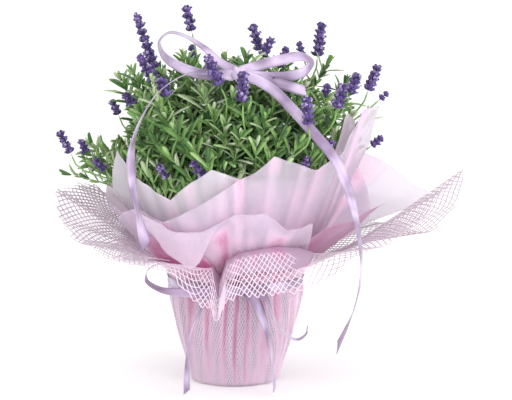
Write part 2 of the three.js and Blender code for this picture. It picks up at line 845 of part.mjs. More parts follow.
function bowSolid() {
  const knot = lumpSolid(BOW_KNOT.clone().add(new THREE.Vector3(0, -3, 0)), [8, 5, 7.5]);
  const inner = HOLDING_RADIUS + CLEARANCE;
  const band = revolved(
    [
      [inner, -5],
      [inner + 3.4, -5],
      [inner + 3.4, 5],
      [inner, 5],
      [inner, -5],
    ],
    10,
  ).translate([HOLDING_SHOOT.x, HOLDING_SHOOT.y, HOLDING_SHOOT.z]);
  return fused([knot, band, ...BOW_STRIPS.map(stripSolid)]);
}

// The band round the gathered sheets, with its knot, loop and tails.
function tieSolid() {
  const halfHeight = RIBBON_WIDTH * 0.42;
  const profile = [
    [0, -1],
    [1, -1],
    [1, 1],
    [0, 1],
    [0, -1],
  ].map(([x, y]) => new THREE.Vector2(x, y));
  const band = new THREE.LatheGeometry(profile, SHEET_SIDES);
  const ring = solidOf(
    shaped(band, (_, index) => {
      const corner = profile[index % profile.length];
      const side = Math.floor(index / profile.length) % SHEET_SIDES;
      const azimuth = (side * FULL_TURN) / SHEET_SIDES;
      const height = TIE_HEIGHT + corner.y * halfHeight;
      const cloth = Math.max(wallPoint(0, azimuth, height).radius, wallPoint(0, azimuth, TIE_HEIGHT).radius);
      const radius = cloth + SHEET_THICKNESS / 2 + 1.2 + corner.x * RIBBON_THICKNESS;
      return new THREE.Vector3(radius * Math.cos(azimuth), radius * Math.sin(azimuth), height);
    }),
  );
  const knotRadius = wallPoint(0, TIE_KNOT_AZIMUTH, TIE_HEIGHT).radius + 6;
  const knotCentre = new THREE.Vector3(
    knotRadius * Math.cos(TIE_KNOT_AZIMUTH),
    knotRadius * Math.sin(TIE_KNOT_AZIMUTH),
    TIE_HEIGHT + 1,
  );
  return fused([ring, lumpSolid(knotCentre, [8, 3.6, 6.5]), ...TIE_STRIPS.map(stripSolid)]);
}

// Flower heads

function backHeads() {
  return Array.from({ length: BACK_HEADS }, (_, i) => {
    const azimuth = (38 + (104 * (i + 0.5)) / BACK_HEADS) * DEGREE;
    const polar = (i % 3 === 0 ? 34 : i % 3 === 1 ? 62 : 48) * DEGREE;
    const root = bushSurface(polar, azimuth);
    const outward = root.clone().sub(BUSH_CENTRE).setZ(root.z - BUSH.centreHeight + 60).normalize();
    const base = root.clone().addScaledVector(outward, 6 + (i % 3) * 7);
    const tip = base.clone().addScaledVector(outward, 24 + (i % 4) * 3);
    return { base: base.toArray(), tip: tip.toArray(), whorls: 4, radius: 6 };
  });
}

const ALL_HEADS = [...HEADS, ...backHeads()].map((head) => ({
  ...head,
  base: new THREE.Vector3(...head.base),
  tip: new THREE.Vector3(...head.tip),
}));

// A head: whorls of buds up a stalk, as relief on a spindle. Each whorl turns by half a bud.
function headSolid(head) {
  const rings = head.whorls * 2;
  const geometry = new THREE.CylinderGeometry(1, 1, 1, HEAD_CORNERS, rings);
  const axis = head.tip.clone().sub(head.base);
  const { side, up } = crossAxes(axis.clone().normalize(), sidewaysOf(head.base, head.tip));
  return solidOf(
    shaped(geometry, (vertex) => {
      const share = vertex.y + 0.5;
      const flat = Math.hypot(vertex.x, vertex.z);
      const ring = Math.round(share * rings);
      const whorl = Math.floor(ring / 2);
      const centre = head.base.clone().addScaledVector(axis, share);
      if (flat < 0.5) return centre;
      const angle = Math.atan2(vertex.z, vertex.x);
      const taper = 1 - 0.45 * Math.max(0, share - 0.35) - 0.25 * Math.max(0, 0.3 - share);
      const corner = Math.round((angle / FULL_TURN) * HEAD_CORNERS + HEAD_CORNERS);
      const bud = (corner + whorl) % 2 === 0 ? 1 : 0.7;
      const waist = ring === 0 || ring === rings ? 0.42 : 0.5;
      const radius = head.radius * taper * (ring % 2 === 1 ? bud : waist);
      const lift = ring % 2 === 1 ? (bud - 0.7) * 3 : 0;
      return centre
        .addScaledVector(side, radius * Math.cos(angle))
        .addScaledVector(up, radius * Math.sin(angle))
        .addScaledVector(axis.clone().normalize(), lift);
    }),
  );
}

// Leafy stems

const OBSTACLES = [
  ...ALL_HEADS.map((head) => ({ path: [head.base, head.tip], radius: head.radius + 0.8 })),
  ...[...BOW_STRIPS, ...TIE_STRIPS].map((strip) => ({
    path: new THREE.CatmullRomCurve3(stripPath(strip), false, "centripetal").getPoints(24),
    radius: RIBBON_WIDTH / 2 + 0.8,
  })),
  { path: [BOW_KNOT.clone().add(new THREE.Vector3(-6, -2, 0)), BOW_KNOT.clone().add(new THREE.Vector3(6, -2, 0))], radius: 9 },
];

function isClear(points, width) {
  return points.every((point) =>
    OBSTACLES.every((obstacle) => distanceToPath(point, obstacle.path) > obstacle.radius + width),
  );
}

function rootOf(cell) {
  const spread = spreadAt(SOIL_TOP);
  return new THREE.Vector3(CELLS[cell].x * spread, CELLS[cell].y * spread, SOIL_TOP - STEM_SINK);
}

// Where a leaf's tip lies: it closes towards its shoot until it is clear of its neighbours.
function leafTip(root, axis, outward, length, open, cell) {
  for (const opening of [open, open * 0.8, open * 0.62]) {
    const way = axis.clone().multiplyScalar(1 - opening * 0.5).addScaledVector(outward, opening).normalize();
    const tip = root.clone().addScaledVector(way, length);
    const along = [0, 0.25, 0.5, 0.75, 1].map((share) => root.clone().lerp(tip, share));
    const inRoom = along.every((point) => kept(point, cell, LEAF_HALF_WIDTH * 0.8).distanceTo(point) < 0.01);
    if (inRoom && isClear(along, LEAF_HALF_WIDTH * 0.8)) return tip;
  }
  return null;
}

// How many times further a leaf's way runs along its shoot than out from it.
function steepness(root, axis, tip) {
  const way = tip.clone().sub(root);
  const along = way.dot(axis);
  return Math.max(0, along) / way.addScaledVector(axis, -along).length();
}

// A square shoot with opposite leaves, each pair turned a quarter from the one below.
// A pair is three rings close together: the middle one has two corners drawn out to leaf tips.
// A steep leaf needs its upper ring further up, or its upper face would cut into the shoot.
function shootSolid(path, cell, draw) {
  const curve = new THREE.CatmullRomCurve3(path);
  const shootLength = curve.getLength();
  const drops = LEAF_PAIR_DROPS.filter((drop) => drop < 0.85 * shootLength);
  const roll = draw() * Math.PI;
  const sideways = sidewaysOf(path[0], path.at(-1));
  const rings = [{ share: 0 }];
  const tips = drops.map((drop, pair) => {
    const share = 1 - drop / shootLength;
    const [root, axis] = [curve.getPointAt(share), curve.getTangentAt(share)];
    const { side, up } = crossAxes(axis, sideways);
    const last = pair === drops.length - 1;
    const ends = [0, 1].map((blade) => {
      const angle = roll + (pair * Math.PI) / 2 + blade * Math.PI;
      const outward = side.clone().multiplyScalar(Math.cos(angle)).addScaledVector(up, Math.sin(angle));
      const length = LEAF_LENGTH * (0.8 + 0.35 * draw()) * (last ? 0.75 : 1);
      return leafTip(root, axis, outward, length, last ? 0.5 : 0.7 + 0.25 * draw(), cell);
    });
    const steepest = Math.max(...ends.map((end) => (end ? steepness(root, axis, end) : 0)));
    const below = LEAF_ROOT_HEIGHT / shootLength;
    const above = (0.5 * LEAF_ROOT_HEIGHT + SHOOT_RADIUS * steepest) / shootLength;
    rings.push({ share: share - below }, { share, pair }, { share: share + above });
    return ends;
  });
  rings.push({ share: 1 });
  const geometry = new THREE.CylinderGeometry(1, 1, 1, 4, rings.length - 1);
  return solidOf(
    shaped(geometry, (vertex) => {
      const ring = rings[Math.round((vertex.y + 0.5) * (rings.length - 1))];
      const centre = curve.getPointAt(ring.share);
      if (Math.hypot(vertex.x, vertex.z) < 0.5) return centre;
      const corner = (Math.round(Math.atan2(vertex.z, vertex.x) / (Math.PI / 2)) + 4) % 4;
      const blade = ring.pair === undefined ? null : (corner - ring.pair + 8) % 4;
      if (blade !== null && blade % 2 === 0 && tips[ring.pair][blade / 2]) {
        return tips[ring.pair][blade / 2].clone();
      }
      const { side, up } = crossAxes(curve.getTangentAt(ring.share), sideways);
      const angle = roll + (corner * Math.PI) / 2;
      const radius = ring.share === 1 ? SHOOT_RADIUS * 0.5 : SHOOT_RADIUS;
      const wide = ring.pair === undefined ? radius : LEAF_HALF_WIDTH;
      return centre
        .addScaledVector(side, wide * Math.cos(angle))
        .addScaledVector(up, wide * Math.sin(angle));
    }),
  );
}

function stemNode(cell, shootTips, heads, draw) {
  const root = rootOf(cell);
  const foot = root.clone().setZ(SOIL_TOP + 12);
  const highest = shootTips.reduce((best, tip) => (tip.z > best.z ? tip : best));
  const top = foot.clone().lerp(highest, CORE_TOP_SHARE);
  const parts = [
    stemSolid([root, foot.clone().setZ(SOIL_TOP + 18)], STEM_RADIUS, STEM_RADIUS, 1, 6),
    coreSolid(cell, foot, top),
  ];
  const heart = foot.clone().lerp(top, 0.6);
  for (const tip of shootTips) {
    const path = cellPath(cell, heart, tip, 3, SHOOT_RADIUS + 3);
    if (isClear(path.slice(1), SHOOT_RADIUS)) {
      parts.push(shootSolid(path, cell, draw));
    }
  }
  for (const head of heads) {
    const axis = head.tip.clone().sub(head.base).normalize();
    const end = head.base.clone().addScaledVector(axis, -CLEARANCE);
    const before = end.clone().addScaledVector(axis, -14);
    const path = cellPath(cell, heart, before, 4, STALK_RADIUS + 0.9, 2.4);
    path[path.length - 1] = before;
    parts.push(stemSolid([...path, end], STALK_RADIUS * 1.3, STALK_RADIUS, 5, 3));
  }
  if (cell === nearestCell(HOLDING_SHOOT)) parts.push(holdingSolid(heart, cell));
  return fused(parts);
}

// The shoot that the bow is tied round stands straight where the band holds it.
function holdingSolid(heart, cell) {
  const low = HOLDING_SHOOT.clone().add(new THREE.Vector3(0, 0, -20));
  const path = cellPath(cell, heart, low, 2, 2);
  path[path.length - 1] = low;
  const high = HOLDING_SHOOT.clone().add(new THREE.Vector3(0, 0, 12));
  return stemSolid([...path, HOLDING_SHOOT, high], HOLDING_RADIUS, HOLDING_RADIUS, 10);
}

function bushSolids() {
  const draw = seeded(11);
  const tips = CELLS.map(() => []);
  for (let i = 0; i < SHOOTS; i += 1) {
    const polar = Math.acos(1 - (1 - Math.cos(LOWEST_SHOOT)) * ((i + 0.5) / SHOOTS));
    const surface = bushSurface(polar, i * GOLDEN_ANGLE);
    const tip = BUSH_CENTRE.clone().lerp(surface, 0.86 + 0.1 * draw());
    tips[nearestCell(tip)].push(tip);
  }
  const heads = CELLS.map(() => []);
  for (const head of ALL_HEADS) heads[nearestCell(head.base)].push(head);
  return CELLS.map((_, cell) => stemNode(cell, tips[cell], heads[cell], draw));
}

// Scene graph

const lavender = new THREE.Group();

function place(name, solid, colour, roughness) {
  const material = new THREE.MeshStandardMaterial({
    color: colour,
    roughness,
    metalness: 0,
    flatShading: true,
  });
  const mesh = new THREE.Mesh(geometryOf(solid), material);
  mesh.name = name;
  lavender.add(mesh);
}

const roots = CELLS.map((_, cell) => rootOf(cell));
place("pot", potSolid(), 0x3d3a38, 0.6);
place("soil", soilSolid(roots), 0x2c2119, 0.95);
SHEETS.forEach((sheet, layer) => place(sheet.name, sheetSolid(layer), sheet.colour, 0.9));
place("tie_ribbon", tieSolid(), 0xcdb4d9, 0.45);
place("bow_ribbon", bowSolid(), 0xcdb4d9, 0.45);
bushSolids().forEach((solid, i) => place(`leafy_stem_${String(i + 1).padStart(2, "0")}`, solid, 0x4f7d3f, 0.8));
ALL_HEADS.forEach((head, i) =>
  place(`flower_head_${String(i + 1).padStart(2, "0")}`, headSolid(head), 0x4b2c86, 0.8),
);

export default lavender;
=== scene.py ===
"""Gift-wrapped potted lavender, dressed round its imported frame.

Sizes and places are in millimetres and angles in degrees, unless a comment says otherwise. They turn to
metres where a vertex is placed.
"""

import logging
import math
import random
from dataclasses import dataclass, field
from enum import Enum

import bmesh
import bpy
import numpy as np
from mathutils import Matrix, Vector

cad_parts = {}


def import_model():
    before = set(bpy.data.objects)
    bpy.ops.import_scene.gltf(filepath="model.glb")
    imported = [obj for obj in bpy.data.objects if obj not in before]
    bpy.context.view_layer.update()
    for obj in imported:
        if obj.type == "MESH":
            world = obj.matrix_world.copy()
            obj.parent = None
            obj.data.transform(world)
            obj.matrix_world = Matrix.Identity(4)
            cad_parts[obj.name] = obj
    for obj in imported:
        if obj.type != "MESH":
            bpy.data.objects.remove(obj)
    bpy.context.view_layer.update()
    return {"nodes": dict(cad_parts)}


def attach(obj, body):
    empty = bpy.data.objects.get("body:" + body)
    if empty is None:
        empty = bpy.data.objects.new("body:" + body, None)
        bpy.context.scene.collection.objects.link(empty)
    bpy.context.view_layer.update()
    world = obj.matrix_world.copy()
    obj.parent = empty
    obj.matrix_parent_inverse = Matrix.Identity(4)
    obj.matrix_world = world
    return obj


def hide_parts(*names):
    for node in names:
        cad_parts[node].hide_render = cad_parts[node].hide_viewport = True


LOG = logging.getLogger("lavender")
MM = 0.001
DEGREE = math.pi / 180
GOLDEN_ANGLE = math.pi * (3 - math.sqrt(5))
BODY = "root"
# farther than anything in the scene
FAR = 1e9
Stops = tuple[tuple[float, int], ...]


# Finishes


def linear(colour: int) -> tuple[float, ...]:
    """Turns an sRGB hex value into linear light.

    Args:
        colour: the colour as 0xRRGGBB.

    Returns:
        Red, green, blue and a full alpha.
    """
    channels = [((colour >> shift) & 0xFF) / 255 for shift in (16, 8, 0)]
    light = [c / 12.92 if c <= 0.04045 else ((c + 0.055) / 1.055) ** 2.4 for c in channels]
    return (*light, 1.0)


def add_node(
    material: bpy.types.Material,
    kind: str,
    sockets: dict | None = None,
    output: int | str = 0,
    stops: Stops = (),
    **settings: object,
) -> bpy.types.NodeSocket | None:
    """Adds a shader node with its settings and links.

    Args:
        material: the material that gets it.
        kind: its type's name, after ShaderNode.
        sockets: input name or number, and its value or the output that feeds it.
        output: which of its outputs is wanted.
        stops: places and sRGB hex colours along it, if it is a colour ramp.
        **settings: the node's own attributes.

    Returns:
        The wanted output, or None if it has none.
    """
    node = material.node_tree.nodes.new("ShaderNode" + kind)
    for name, value in settings.items():
        setattr(node, name, value)
    for name, value in (sockets or {}).items():
        if isinstance(value, bpy.types.NodeSocket):
            material.node_tree.links.new(value, node.inputs[name])
        else:
            node.inputs[name].default_value = value
    if stops:
        elements = node.color_ramp.elements
        while len(elements) < len(stops):
            elements.new(0.5)
        for element, (place, colour) in zip(elements, stops):
            element.position = place
            element.color = linear(colour)
    return node.outputs[output] if node.outputs else None


@dataclass(frozen=True, kw_only=True)
class Coat:
    """What all finishes share: a grain fixed to the piece, which shades its colours and roughens its face.

    stops: places from 0 to 1 along its colours, and the colours.
    grain, octaves: how far apart the grain's blotches are, and how many finer sizes it has.
    relief, shown: how far the grain stands out, and how much of that shows.
    others: further sockets of the face.
    """

    name: str
    stops: Stops
    grain: float = 1.0
    octaves: float = 3.0
    relief: float = 0.25
    shown: float = 0.4
    roughness: float = 0.6
    ior: float = 1.42
    sheen: float = 0.0
    others: tuple[tuple[str, float], ...] = ()

    def blotches(self, made: bpy.types.Material, size: float, octaves: float) -> bpy.types.NodeSocket:
        """Noise on the piece's own coordinates, with blotches of a size."""
        place = add_node(made, "TexCoord", output="Object")
        return add_node(made, "TexNoise", {"Vector": place, "Scale": 1 / (size * MM), "Detail": octaves})

    def pattern(self, made: bpy.types.Material) -> bpy.types.NodeSocket:
        """The grain, from 0 to 1."""
        return self.blotches(made, self.grain, self.octaves)

    def shade(self, made: bpy.types.Material, pattern: bpy.types.NodeSocket) -> bpy.types.NodeSocket:
        """Where along its colours each point lies: here, the grain alone."""
        return pattern

    def surface(self, made: bpy.types.Material, face: bpy.types.NodeSocket) -> bpy.types.NodeSocket:
        """What the light meets: here, the face alone."""
        return face

    def material(self) -> bpy.types.Material:
        """Makes the material.

        Returns:
            The material.
        """
        made = bpy.data.materials.new(self.name)
        made.use_nodes = True
        made.node_tree.nodes.clear()
        pattern = self.pattern(made)
        sockets = {
            "Base Color": add_node(made, "ValToRGB", {"Fac": self.shade(made, pattern)}, stops=self.stops),
            "Roughness": self.roughness,
            "IOR": self.ior,
            "Sheen Weight": self.sheen,
            "Normal": add_node(
                made, "Bump", {"Height": pattern, "Distance": self.relief * MM, "Strength": self.shown}
            ),
        }
        face = add_node(made, "BsdfPrincipled", sockets | dict(self.others))
        add_node(made, "OutputMaterial", {"Surface": self.surface(made, face)})
        return made


@dataclass(frozen=True, kw_only=True)
class SpunFleece(Coat):
    """Spunbonded polypropylene: matt, faintly clouded where its fibres bunch, and lets light through.

    Its four stops are few fibres, many, two layers, and a deep pink that is partly folds that lie close and
    partly painted shade. The attribute depth tells which, and paints that shade into creases and near the
    neck. Real fibres are 0.02 mm apart: they are drawn at 1.6 mm so that their clumps show.

    through: the colour of the light that comes through.
    cover: how much of what lies behind a single layer it hides. It hides more where folds lie close.
    glow: how much of its light comes through.
    """

    through: int
    cover: float
    glow: float
    grain: float = 1.6
    octaves: float = 4.0
    clouds: float = 16.0
    shown: float = 0.35
    roughness: float = 0.82
    ior: float = 1.49
    sheen: float = 0.2
    others: tuple[tuple[str, float], ...] = (("Specular IOR Level", 0.25),)

    def shade(self, made: bpy.types.Material, pattern: bpy.types.NodeSocket) -> bpy.types.NodeSocket:
        """Adds clouds of fibres to the depth, which holds the folds' layers and their painted shade.

        Args:
            made: the material that gets it.
            pattern: the material's grain.

        Returns:
            Where along its colours each point lies.
        """
        clouds = self.blotches(made, self.clouds, 2.0)
        bunched = add_node(made, "Math", {0: clouds, 1: pattern}, operation="MULTIPLY")
        lowered = add_node(made, "Math", {0: bunched, 1: 0.2}, operation="SUBTRACT")
        depth = add_node(made, "Attribute", output="Fac", attribute_name="depth")
        return add_node(made, "Math", {0: depth, 1: 0.8, 2: lowered}, operation="MULTIPLY_ADD")

    def surface(self, made: bpy.types.Material, face: bpy.types.NodeSocket) -> bpy.types.NodeSocket:
        """Mixes the face with light that shines through it and with open pores.

        Args:
            made: the material that gets it.
            face: the cloth's outer face.

        Returns:
            What the light meets.
        """
        through = add_node(made, "BsdfTranslucent", {"Color": linear(self.through)})
        cloth = add_node(made, "MixShader", {0: self.glow, 1: face, 2: through})
        depth = add_node(made, "Attribute", output="Fac", attribute_name="depth")
        hidden = {0: depth, 1: 1.5, 2: self.cover}
        closed = add_node(made, "Math", hidden, operation="MULTIPLY_ADD", use_clamp=True)
        return add_node(made, "MixShader", {0: closed, 1: add_node(made, "BsdfTransparent"), 2: cloth})


@dataclass(frozen=True, kw_only=True)
class NetYarn(Coat):
    """Knotted polyester net: thin clear yarn, with painted light and shade: pale over cloth, greyer in the
    air.

    The attribute tone is 1 in the air. The yarn's twist is 0.3 mm: it is drawn at 0.8 mm.
    """

    grain: float = 0.8
    octaves: float = 1.0
    relief: float = 0.12
    shown: float = 0.5
    roughness: float = 0.42
    ior: float = 1.57
    sheen: float = 0.3

    def shade(self, made: bpy.types.Material, pattern: bpy.types.NodeSocket) -> bpy.types.NodeSocket:
        """Adds soft clouds to the tone.

        Args:
            made: the material that gets it.
            pattern: the material's grain.

        Returns:
            Where along its colours each point lies.
        """
        tone = add_node(made, "Attribute", output="Fac", attribute_name="tone")
        clouds = self.blotches(made, 7.0, 2.0)
        return add_node(made, "Math", {0: clouds, 1: 0.3, 2: tone}, operation="MULTIPLY_ADD")


@dataclass(frozen=True, kw_only=True)
class SatinRibbon(Coat):
    """Polypropylene gift ribbon: fine ribs along it scatter a soft satin highlight.

    The real ribs are 0.25 mm apart: they are drawn at 0.8 mm, 14 across the width.
    """

    relief: float = 0.15
    shown: float = 0.15
    roughness: float = 0.26
    ior: float = 1.49
    sheen: float = 0.25
    others: tuple[tuple[str, float], ...] = (("Anisotropic", 0.5),)

    def pattern(self, made: bpy.types.Material) -> bpy.types.NodeSocket:
        """The ribs, laid along the strips' own map.

        Args:
            made: the material that gets it.

        Returns:
            The ribs, from 0 to 1.
        """
        place = add_node(made, "UVMap", uv_map="strip")
        stretched = add_node(made, "Mapping", {"Vector": place, "Scale": (3.0, 14.0, 1.0)})
        return add_node(made, "TexNoise", {"Vector": stretched, "Scale": 1.0, "Detail": 2.0})

    def shade(self, made: bpy.types.Material, pattern: bpy.types.NodeSocket) -> bpy.types.NodeSocket:
        """Adds wide bands of light and shade to the ribs."""
        bands = self.blotches(made, 22.0, 1.0)
        return add_node(made, "Math", {0: pattern, 1: 0.3, 2: bands}, operation="MULTIPLY_ADD")


@dataclass(frozen=True, kw_only=True)
class PlantTissue(Coat):
    """Living tissue: the attribute tone gives each leaf or bud its colour, and its hairs vary it.

    The real hairs are 0.1 mm apart: they are drawn at 1 mm so that they show, and at 1.2 mm on leaves.

    spread: how far the hairs move the tone.
    """

    spread: float = 0.24
    sheen: float = 0.1

    def shade(self, made: bpy.types.Material, pattern: bpy.types.NodeSocket) -> bpy.types.NodeSocket:
        """Adds the grain, to both sides of the tone.

        Args:
            made: the material that gets it.
            pattern: the material's grain.

        Returns:
            Where along its colours each point lies.
        """
        tone = add_node(made, "Attribute", output="Fac", attribute_name="tone")
        moved = add_node(made, "Math", {0: pattern, 1: self.spread, 2: tone}, operation="MULTIPLY_ADD")
        return add_node(made, "Math", {0: moved, 1: self.spread / 2}, operation="SUBTRACT")


class Finish(Enum):
    """The finishes that the pieces choose from."""

    INNER_FLEECE = SpunFleece(
        name="spunbonded fleece, white lilac",
        stops=((0.0, 0xE2DCE6), (0.12, 0xE3DDE6), (0.34, 0xE9D6E5), (0.85, 0xE2B0CE)),
        through=0xF3ECF1,
        cover=0.66,
        glow=0.3,
    )
    OUTER_FLEECE = SpunFleece(
        name="spunbonded fleece, pale pink",
        stops=((0.0, 0xD2CBDA), (0.12, 0xE0D5E4), (0.34, 0xF2D8EB), (0.85, 0xD26EA2)),
        through=0xF9E2F3,
        cover=0.5,
        glow=0.4,
    )
    # painted shadow: a darker copy of the pink fleece, for the net's shadows and the shade in the folds under
    # it
    PAINTED_SHADE_FLEECE = SpunFleece(
        name="spunbonded fleece, pale pink, painted shade under the net",
        stops=((0.0, 0xA696AA), (0.12, 0xB5A2B6), (0.34, 0xBE95B2), (0.85, 0xB05B88)),
        through=0xE0C0D6,
        cover=0.86,
        glow=0.38,
    )
    # painted light and shade: pale where the net lies on cloth, greyer where it hangs in the air
    NET = NetYarn(name="knotted polyester net, pink", stops=((0.1, 0xE9D2E3), (1.0, 0xB8A5B5)))
    RIBBON = SatinRibbon(name="polypropylene ribbon, lilac satin", stops=((0.5, 0x84708F), (0.8, 0xC0AECB)))
    # green under a felt of pale hairs, which greys the old leaves
    LEAF = PlantTissue(
        name="lavender leaf, felted",
        stops=(
            (0.0, 0x16270F), (0.25, 0x2E5220), (0.5, 0x4B7B35),
            (0.72, 0x76A053), (0.88, 0xA0BD80), (1.0, 0xB9C6A8),
        ),
        grain=1.2,
        relief=0.2,
        shown=0.3,
        roughness=0.5,
        spread=0.22,
        sheen=0.12,
        others=(("Subsurface Weight", 0.12), ("Subsurface Scale", 1.0 * MM)),
    )
    # brown wood below, matt green above
    STEM = PlantTissue(
        name="lavender stem, green wood",
        stops=((0.0, 0x4A3A26), (0.35, 0x6E6B42), (0.7, 0x7E9A5C), (1.0, 0xA9B992)),
    )
    # nearly black where it is shaded, with a grey bloom of hairs on its edges
    CALYX = PlantTissue(
        name="lavender calyx, felted violet",
        stops=((0.0, 0x160C2C), (0.38, 0x311E58), (0.7, 0x654B92), (1.0, 0xB8ACCC)),
        sheen=0.2,
    )
    # brighter and smoother than the calyx
    PETAL = PlantTissue(
        name="lavender petal, violet",
        stops=((0.0, 0x37206C), (0.5, 0x6A4AA2), (1.0, 0xC0ADDC)),
        roughness=0.5,
        sheen=0.2,
    )
    # blow-moulded: smooth, nearly black, with a dull sheen
    POT = Coat(
        name="moulded polypropylene, black",
        stops=((0.3, 0x1E1D1C), (0.8, 0x262524)),
        grain=2.0,
        octaves=2.0,
        relief=0.05,
        shown=0.2,
        roughness=0.42,
        ior=1.49,
    )
    # dark, matt crumbs of 2 to 4 mm with paler fibres
    COMPOST = Coat(
        name="peat compost",
        stops=((0.3, 0x1A120C), (0.55, 0x3A291C), (0.75, 0x6B5238)),
        grain=3.0,
        octaves=5.0,
        relief=2.0,
        shown=1.0,
        roughness=0.95,
        ior=1.4,
    )
    # an even, matt white
    PAPER = Coat(
        name="white paper",
        stops=((0.0, 0xFAFAF9), (1.0, 0xFDFDFC)),
        grain=40.0,
        octaves=1.0,
        relief=0.0,
        roughness=0.9,
        ior=1.5,
    )


MATERIALS: dict[Finish, bpy.types.Material] = {}


def material_of(finish: Finish) -> bpy.types.Material:
    """The one material of a finish, made the first time that a piece asks for it.

    Args:
        finish: the finish.

    Returns:
        Its material.
    """
    if finish not in MATERIALS:
        MATERIALS[finish] = finish.value.material()
    return MATERIALS[finish]


# Helpers for pieces


def smooth(share: np.ndarray | float) -> np.ndarray | float:
    """Eases a share between 0 and 1."""
    kept = np.clip(share, 0.0, 1.0)
    return kept * kept * (3 - 2 * kept)


def add_object(name: str, data: bpy.types.ID) -> bpy.types.Object:
    """Puts a mesh, lamp or camera in the scene.

    Args:
        name: the object's name.
        data: what it shows.

    Returns:
        The new object.
    """
    made = bpy.data.objects.new(name, data)
    bpy.context.scene.collection.objects.link(made)
    return made


def finish_piece(
    name: str, mesh: bpy.types.Mesh, finishes: list[Finish], node: str
) -> bpy.types.Object:
    """Puts a mesh in the scene as a piece of the object.

    Args:
        name: the piece's name.
        mesh: its mesh, in metres, in the frame's own place.
        finishes: what its material slots hold.
        node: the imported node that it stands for.

    Returns:
        The new object.
    """
    piece = add_object(name, mesh)
    mesh.materials.clear()
    for finish in finishes:
        mesh.materials.append(material_of(finish))
    mesh.shade_smooth()
    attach(piece, BODY)
    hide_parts(node)
    LOG.info("%s: %d triangles", name, sum(len(polygon.vertices) - 2 for polygon in mesh.polygons))
    return piece


def mesh_of(name: str, form: bmesh.types.BMesh) -> bpy.types.Mesh:
    """Turns a bmesh into a mesh and frees it.

    Args:
        name: the mesh's name.
        form: the bmesh.

    Returns:
        The mesh.
    """
    mesh = bpy.data.meshes.new(name)
    form.to_mesh(mesh)
    form.free()
    return mesh


def thicken(piece: bpy.types.Object, thickness: float) -> None:
    """Gives a sheet its thickness, half to each side.

    Args:
        piece: the sheet.
        thickness: in millimetres.
    """
    wall = piece.modifiers.new("thickness", "SOLIDIFY")
    wall.thickness = thickness * MM
    wall.offset = 0.0


def path_length(points: list[Vector]) -> float:
    """How long the straight way through points is."""
    return sum((b - a).length for a, b in zip(points, points[1:]))


def path_point(points: list[Vector], share: float) -> Vector:
    """A point on a smooth curve through points, whose speed eases with their spacing.

    Args:
        points: what the curve goes through.
        share: 0 at the first point and 1 at the last, in equal parts between points.

    Returns:
        The point.
    """
    last = len(points) - 1
    at = min(max(share, 0.0), 1.0) * last
    index = min(int(at), last - 1)
    part = at - index
    second, third = points[index], points[index + 1]
    first = points[index - 1] if index > 0 else second * 2 - third
    fourth = points[index + 2] if index + 2 <= last else third * 2 - second
    spans = ((first, second), (second, third), (third, fourth))
    before, here, after = (max((b - a).length ** 0.5, 1e-4) for a, b in spans)
    into = (second - first) / before - (third - first) / (before + here) + (third - second) / here
    out = (third - second) / here - (fourth - second) / (here + after) + (fourth - third) / after
    into, out = into * here, out * here
    cubic = second * 2 - third * 2 + into + out
    square = third * 3 - second * 3 - into * 2 - out
    return ((cubic * part + square) * part + into) * part + second


def path_tangent(points: list[Vector], share: float) -> Vector:
    """The unit direction of path_point's curve at a share of it."""
    low, high = max(0.0, share - 1e-4), min(1.0, share + 1e-4)
    return (path_point(points, high) - path_point(points, low)).normalized()


# Wrap


@dataclass(frozen=True)
class Square:
    """One square of the wrap.

    layer: 0 for the outermost.
    flat: its side before it was gathered, in metres; not used.
    spokes: azimuth, the cloth's elevation at the neck and at the edge, and its length between them.
    """

    name: str
    node: str
    layer: int
    flat: float
    spokes: tuple[tuple[float, float, float, float], ...]


NET = Square(
    "pink_net",
    "net_wrap",
    0,
    0.44,
    (
        (15, 20, 8, 148), (30, 27, 8, 118), (45, 36, 12, 110), (67.5, 34, 0, 125), (85, 34, -10, 150),
        (105, 32, 0, 120), (135, 36, 18, 95), (150, 42, 34, 110), (165, 46, 42, 116), (178, 44, 38, 122),
        (189, 42, 32, 137), (203, 36, 18, 124), (214, 32, 8, 110), (224, 28, -2, 98), (236, 28, -10, 86),
        # the front, which hangs over the tie
        (244, 34, -20, 66), (251, 38, -70, 62), (257, 40, -74, 66), (261.5, 14, -70, 58), (266, 42, -72, 78),
        (274, 46, -74, 84), (284, 47, -75, 92), (294, 46, -72, 96), (304, 42, -50, 98), (313, 34, -14, 96),
        (322, 30, 8, 108), (332, 28, 20, 132), (344, 26, 32, 162), (351, 28, 37, 190),
    ),
)
OUTER_FLEECE = Square(
    "outer_fleece",
    "fleece_outer",
    1,
    0.40,
    (
        (8, 60, 62, 118), (13, 34, 22, 84), (21, 26, 12, 60), (42, 44, 40, 84), (75, 58, 56, 125),
        (108, 46, 40, 92), (135, 52, 44, 96), (165, 54, 52, 112), (185, 50, 46, 84), (200, 52, 46, 78),
        (219, 54, 55, 78), (232, 52, 52, 70), (243, 54, 54, 76), (259, 60, 61, 91), (274, 64, 68, 107),
        (289.7, 66, 69, 127), (302, 65, 67, 121), (313, 62, 64, 116), (322, 62, 66, 130), (334, 62, 70, 158),
        (351, 60, 69, 183),
    ),
)
INNER_FLEECE = Square(
    "inner_fleece",
    "fleece_inner",
    2,
    0.39,
    (
        # the corner that lies out at the right, then the back and the peaks at the front
        (5, 62, 58, 112), (11, 38, 30, 138), (15, 30, 19, 158), (19, 28, 13, 162), (27, 33, 18, 126),
        (38, 54, 48, 104), (70, 64, 60, 95), (108, 60, 58, 136), (155, 62, 58, 90), (179, 60, 54, 84),
        (189, 59, 52, 99), (198, 63, 67, 130), (217, 64, 66, 98), (233, 65, 65, 82), (246, 68, 69, 97),
        (259, 69, 70, 112), (274, 70, 73, 100), (290, 72, 74, 98), (310, 70, 72, 98), (326, 67, 70, 106),
        (336, 68, 71, 134), (344, 69, 72, 162), (353, 68, 71, 150),
    ),
)
SQUARES = (NET, OUTER_FLEECE, INNER_FLEECE)


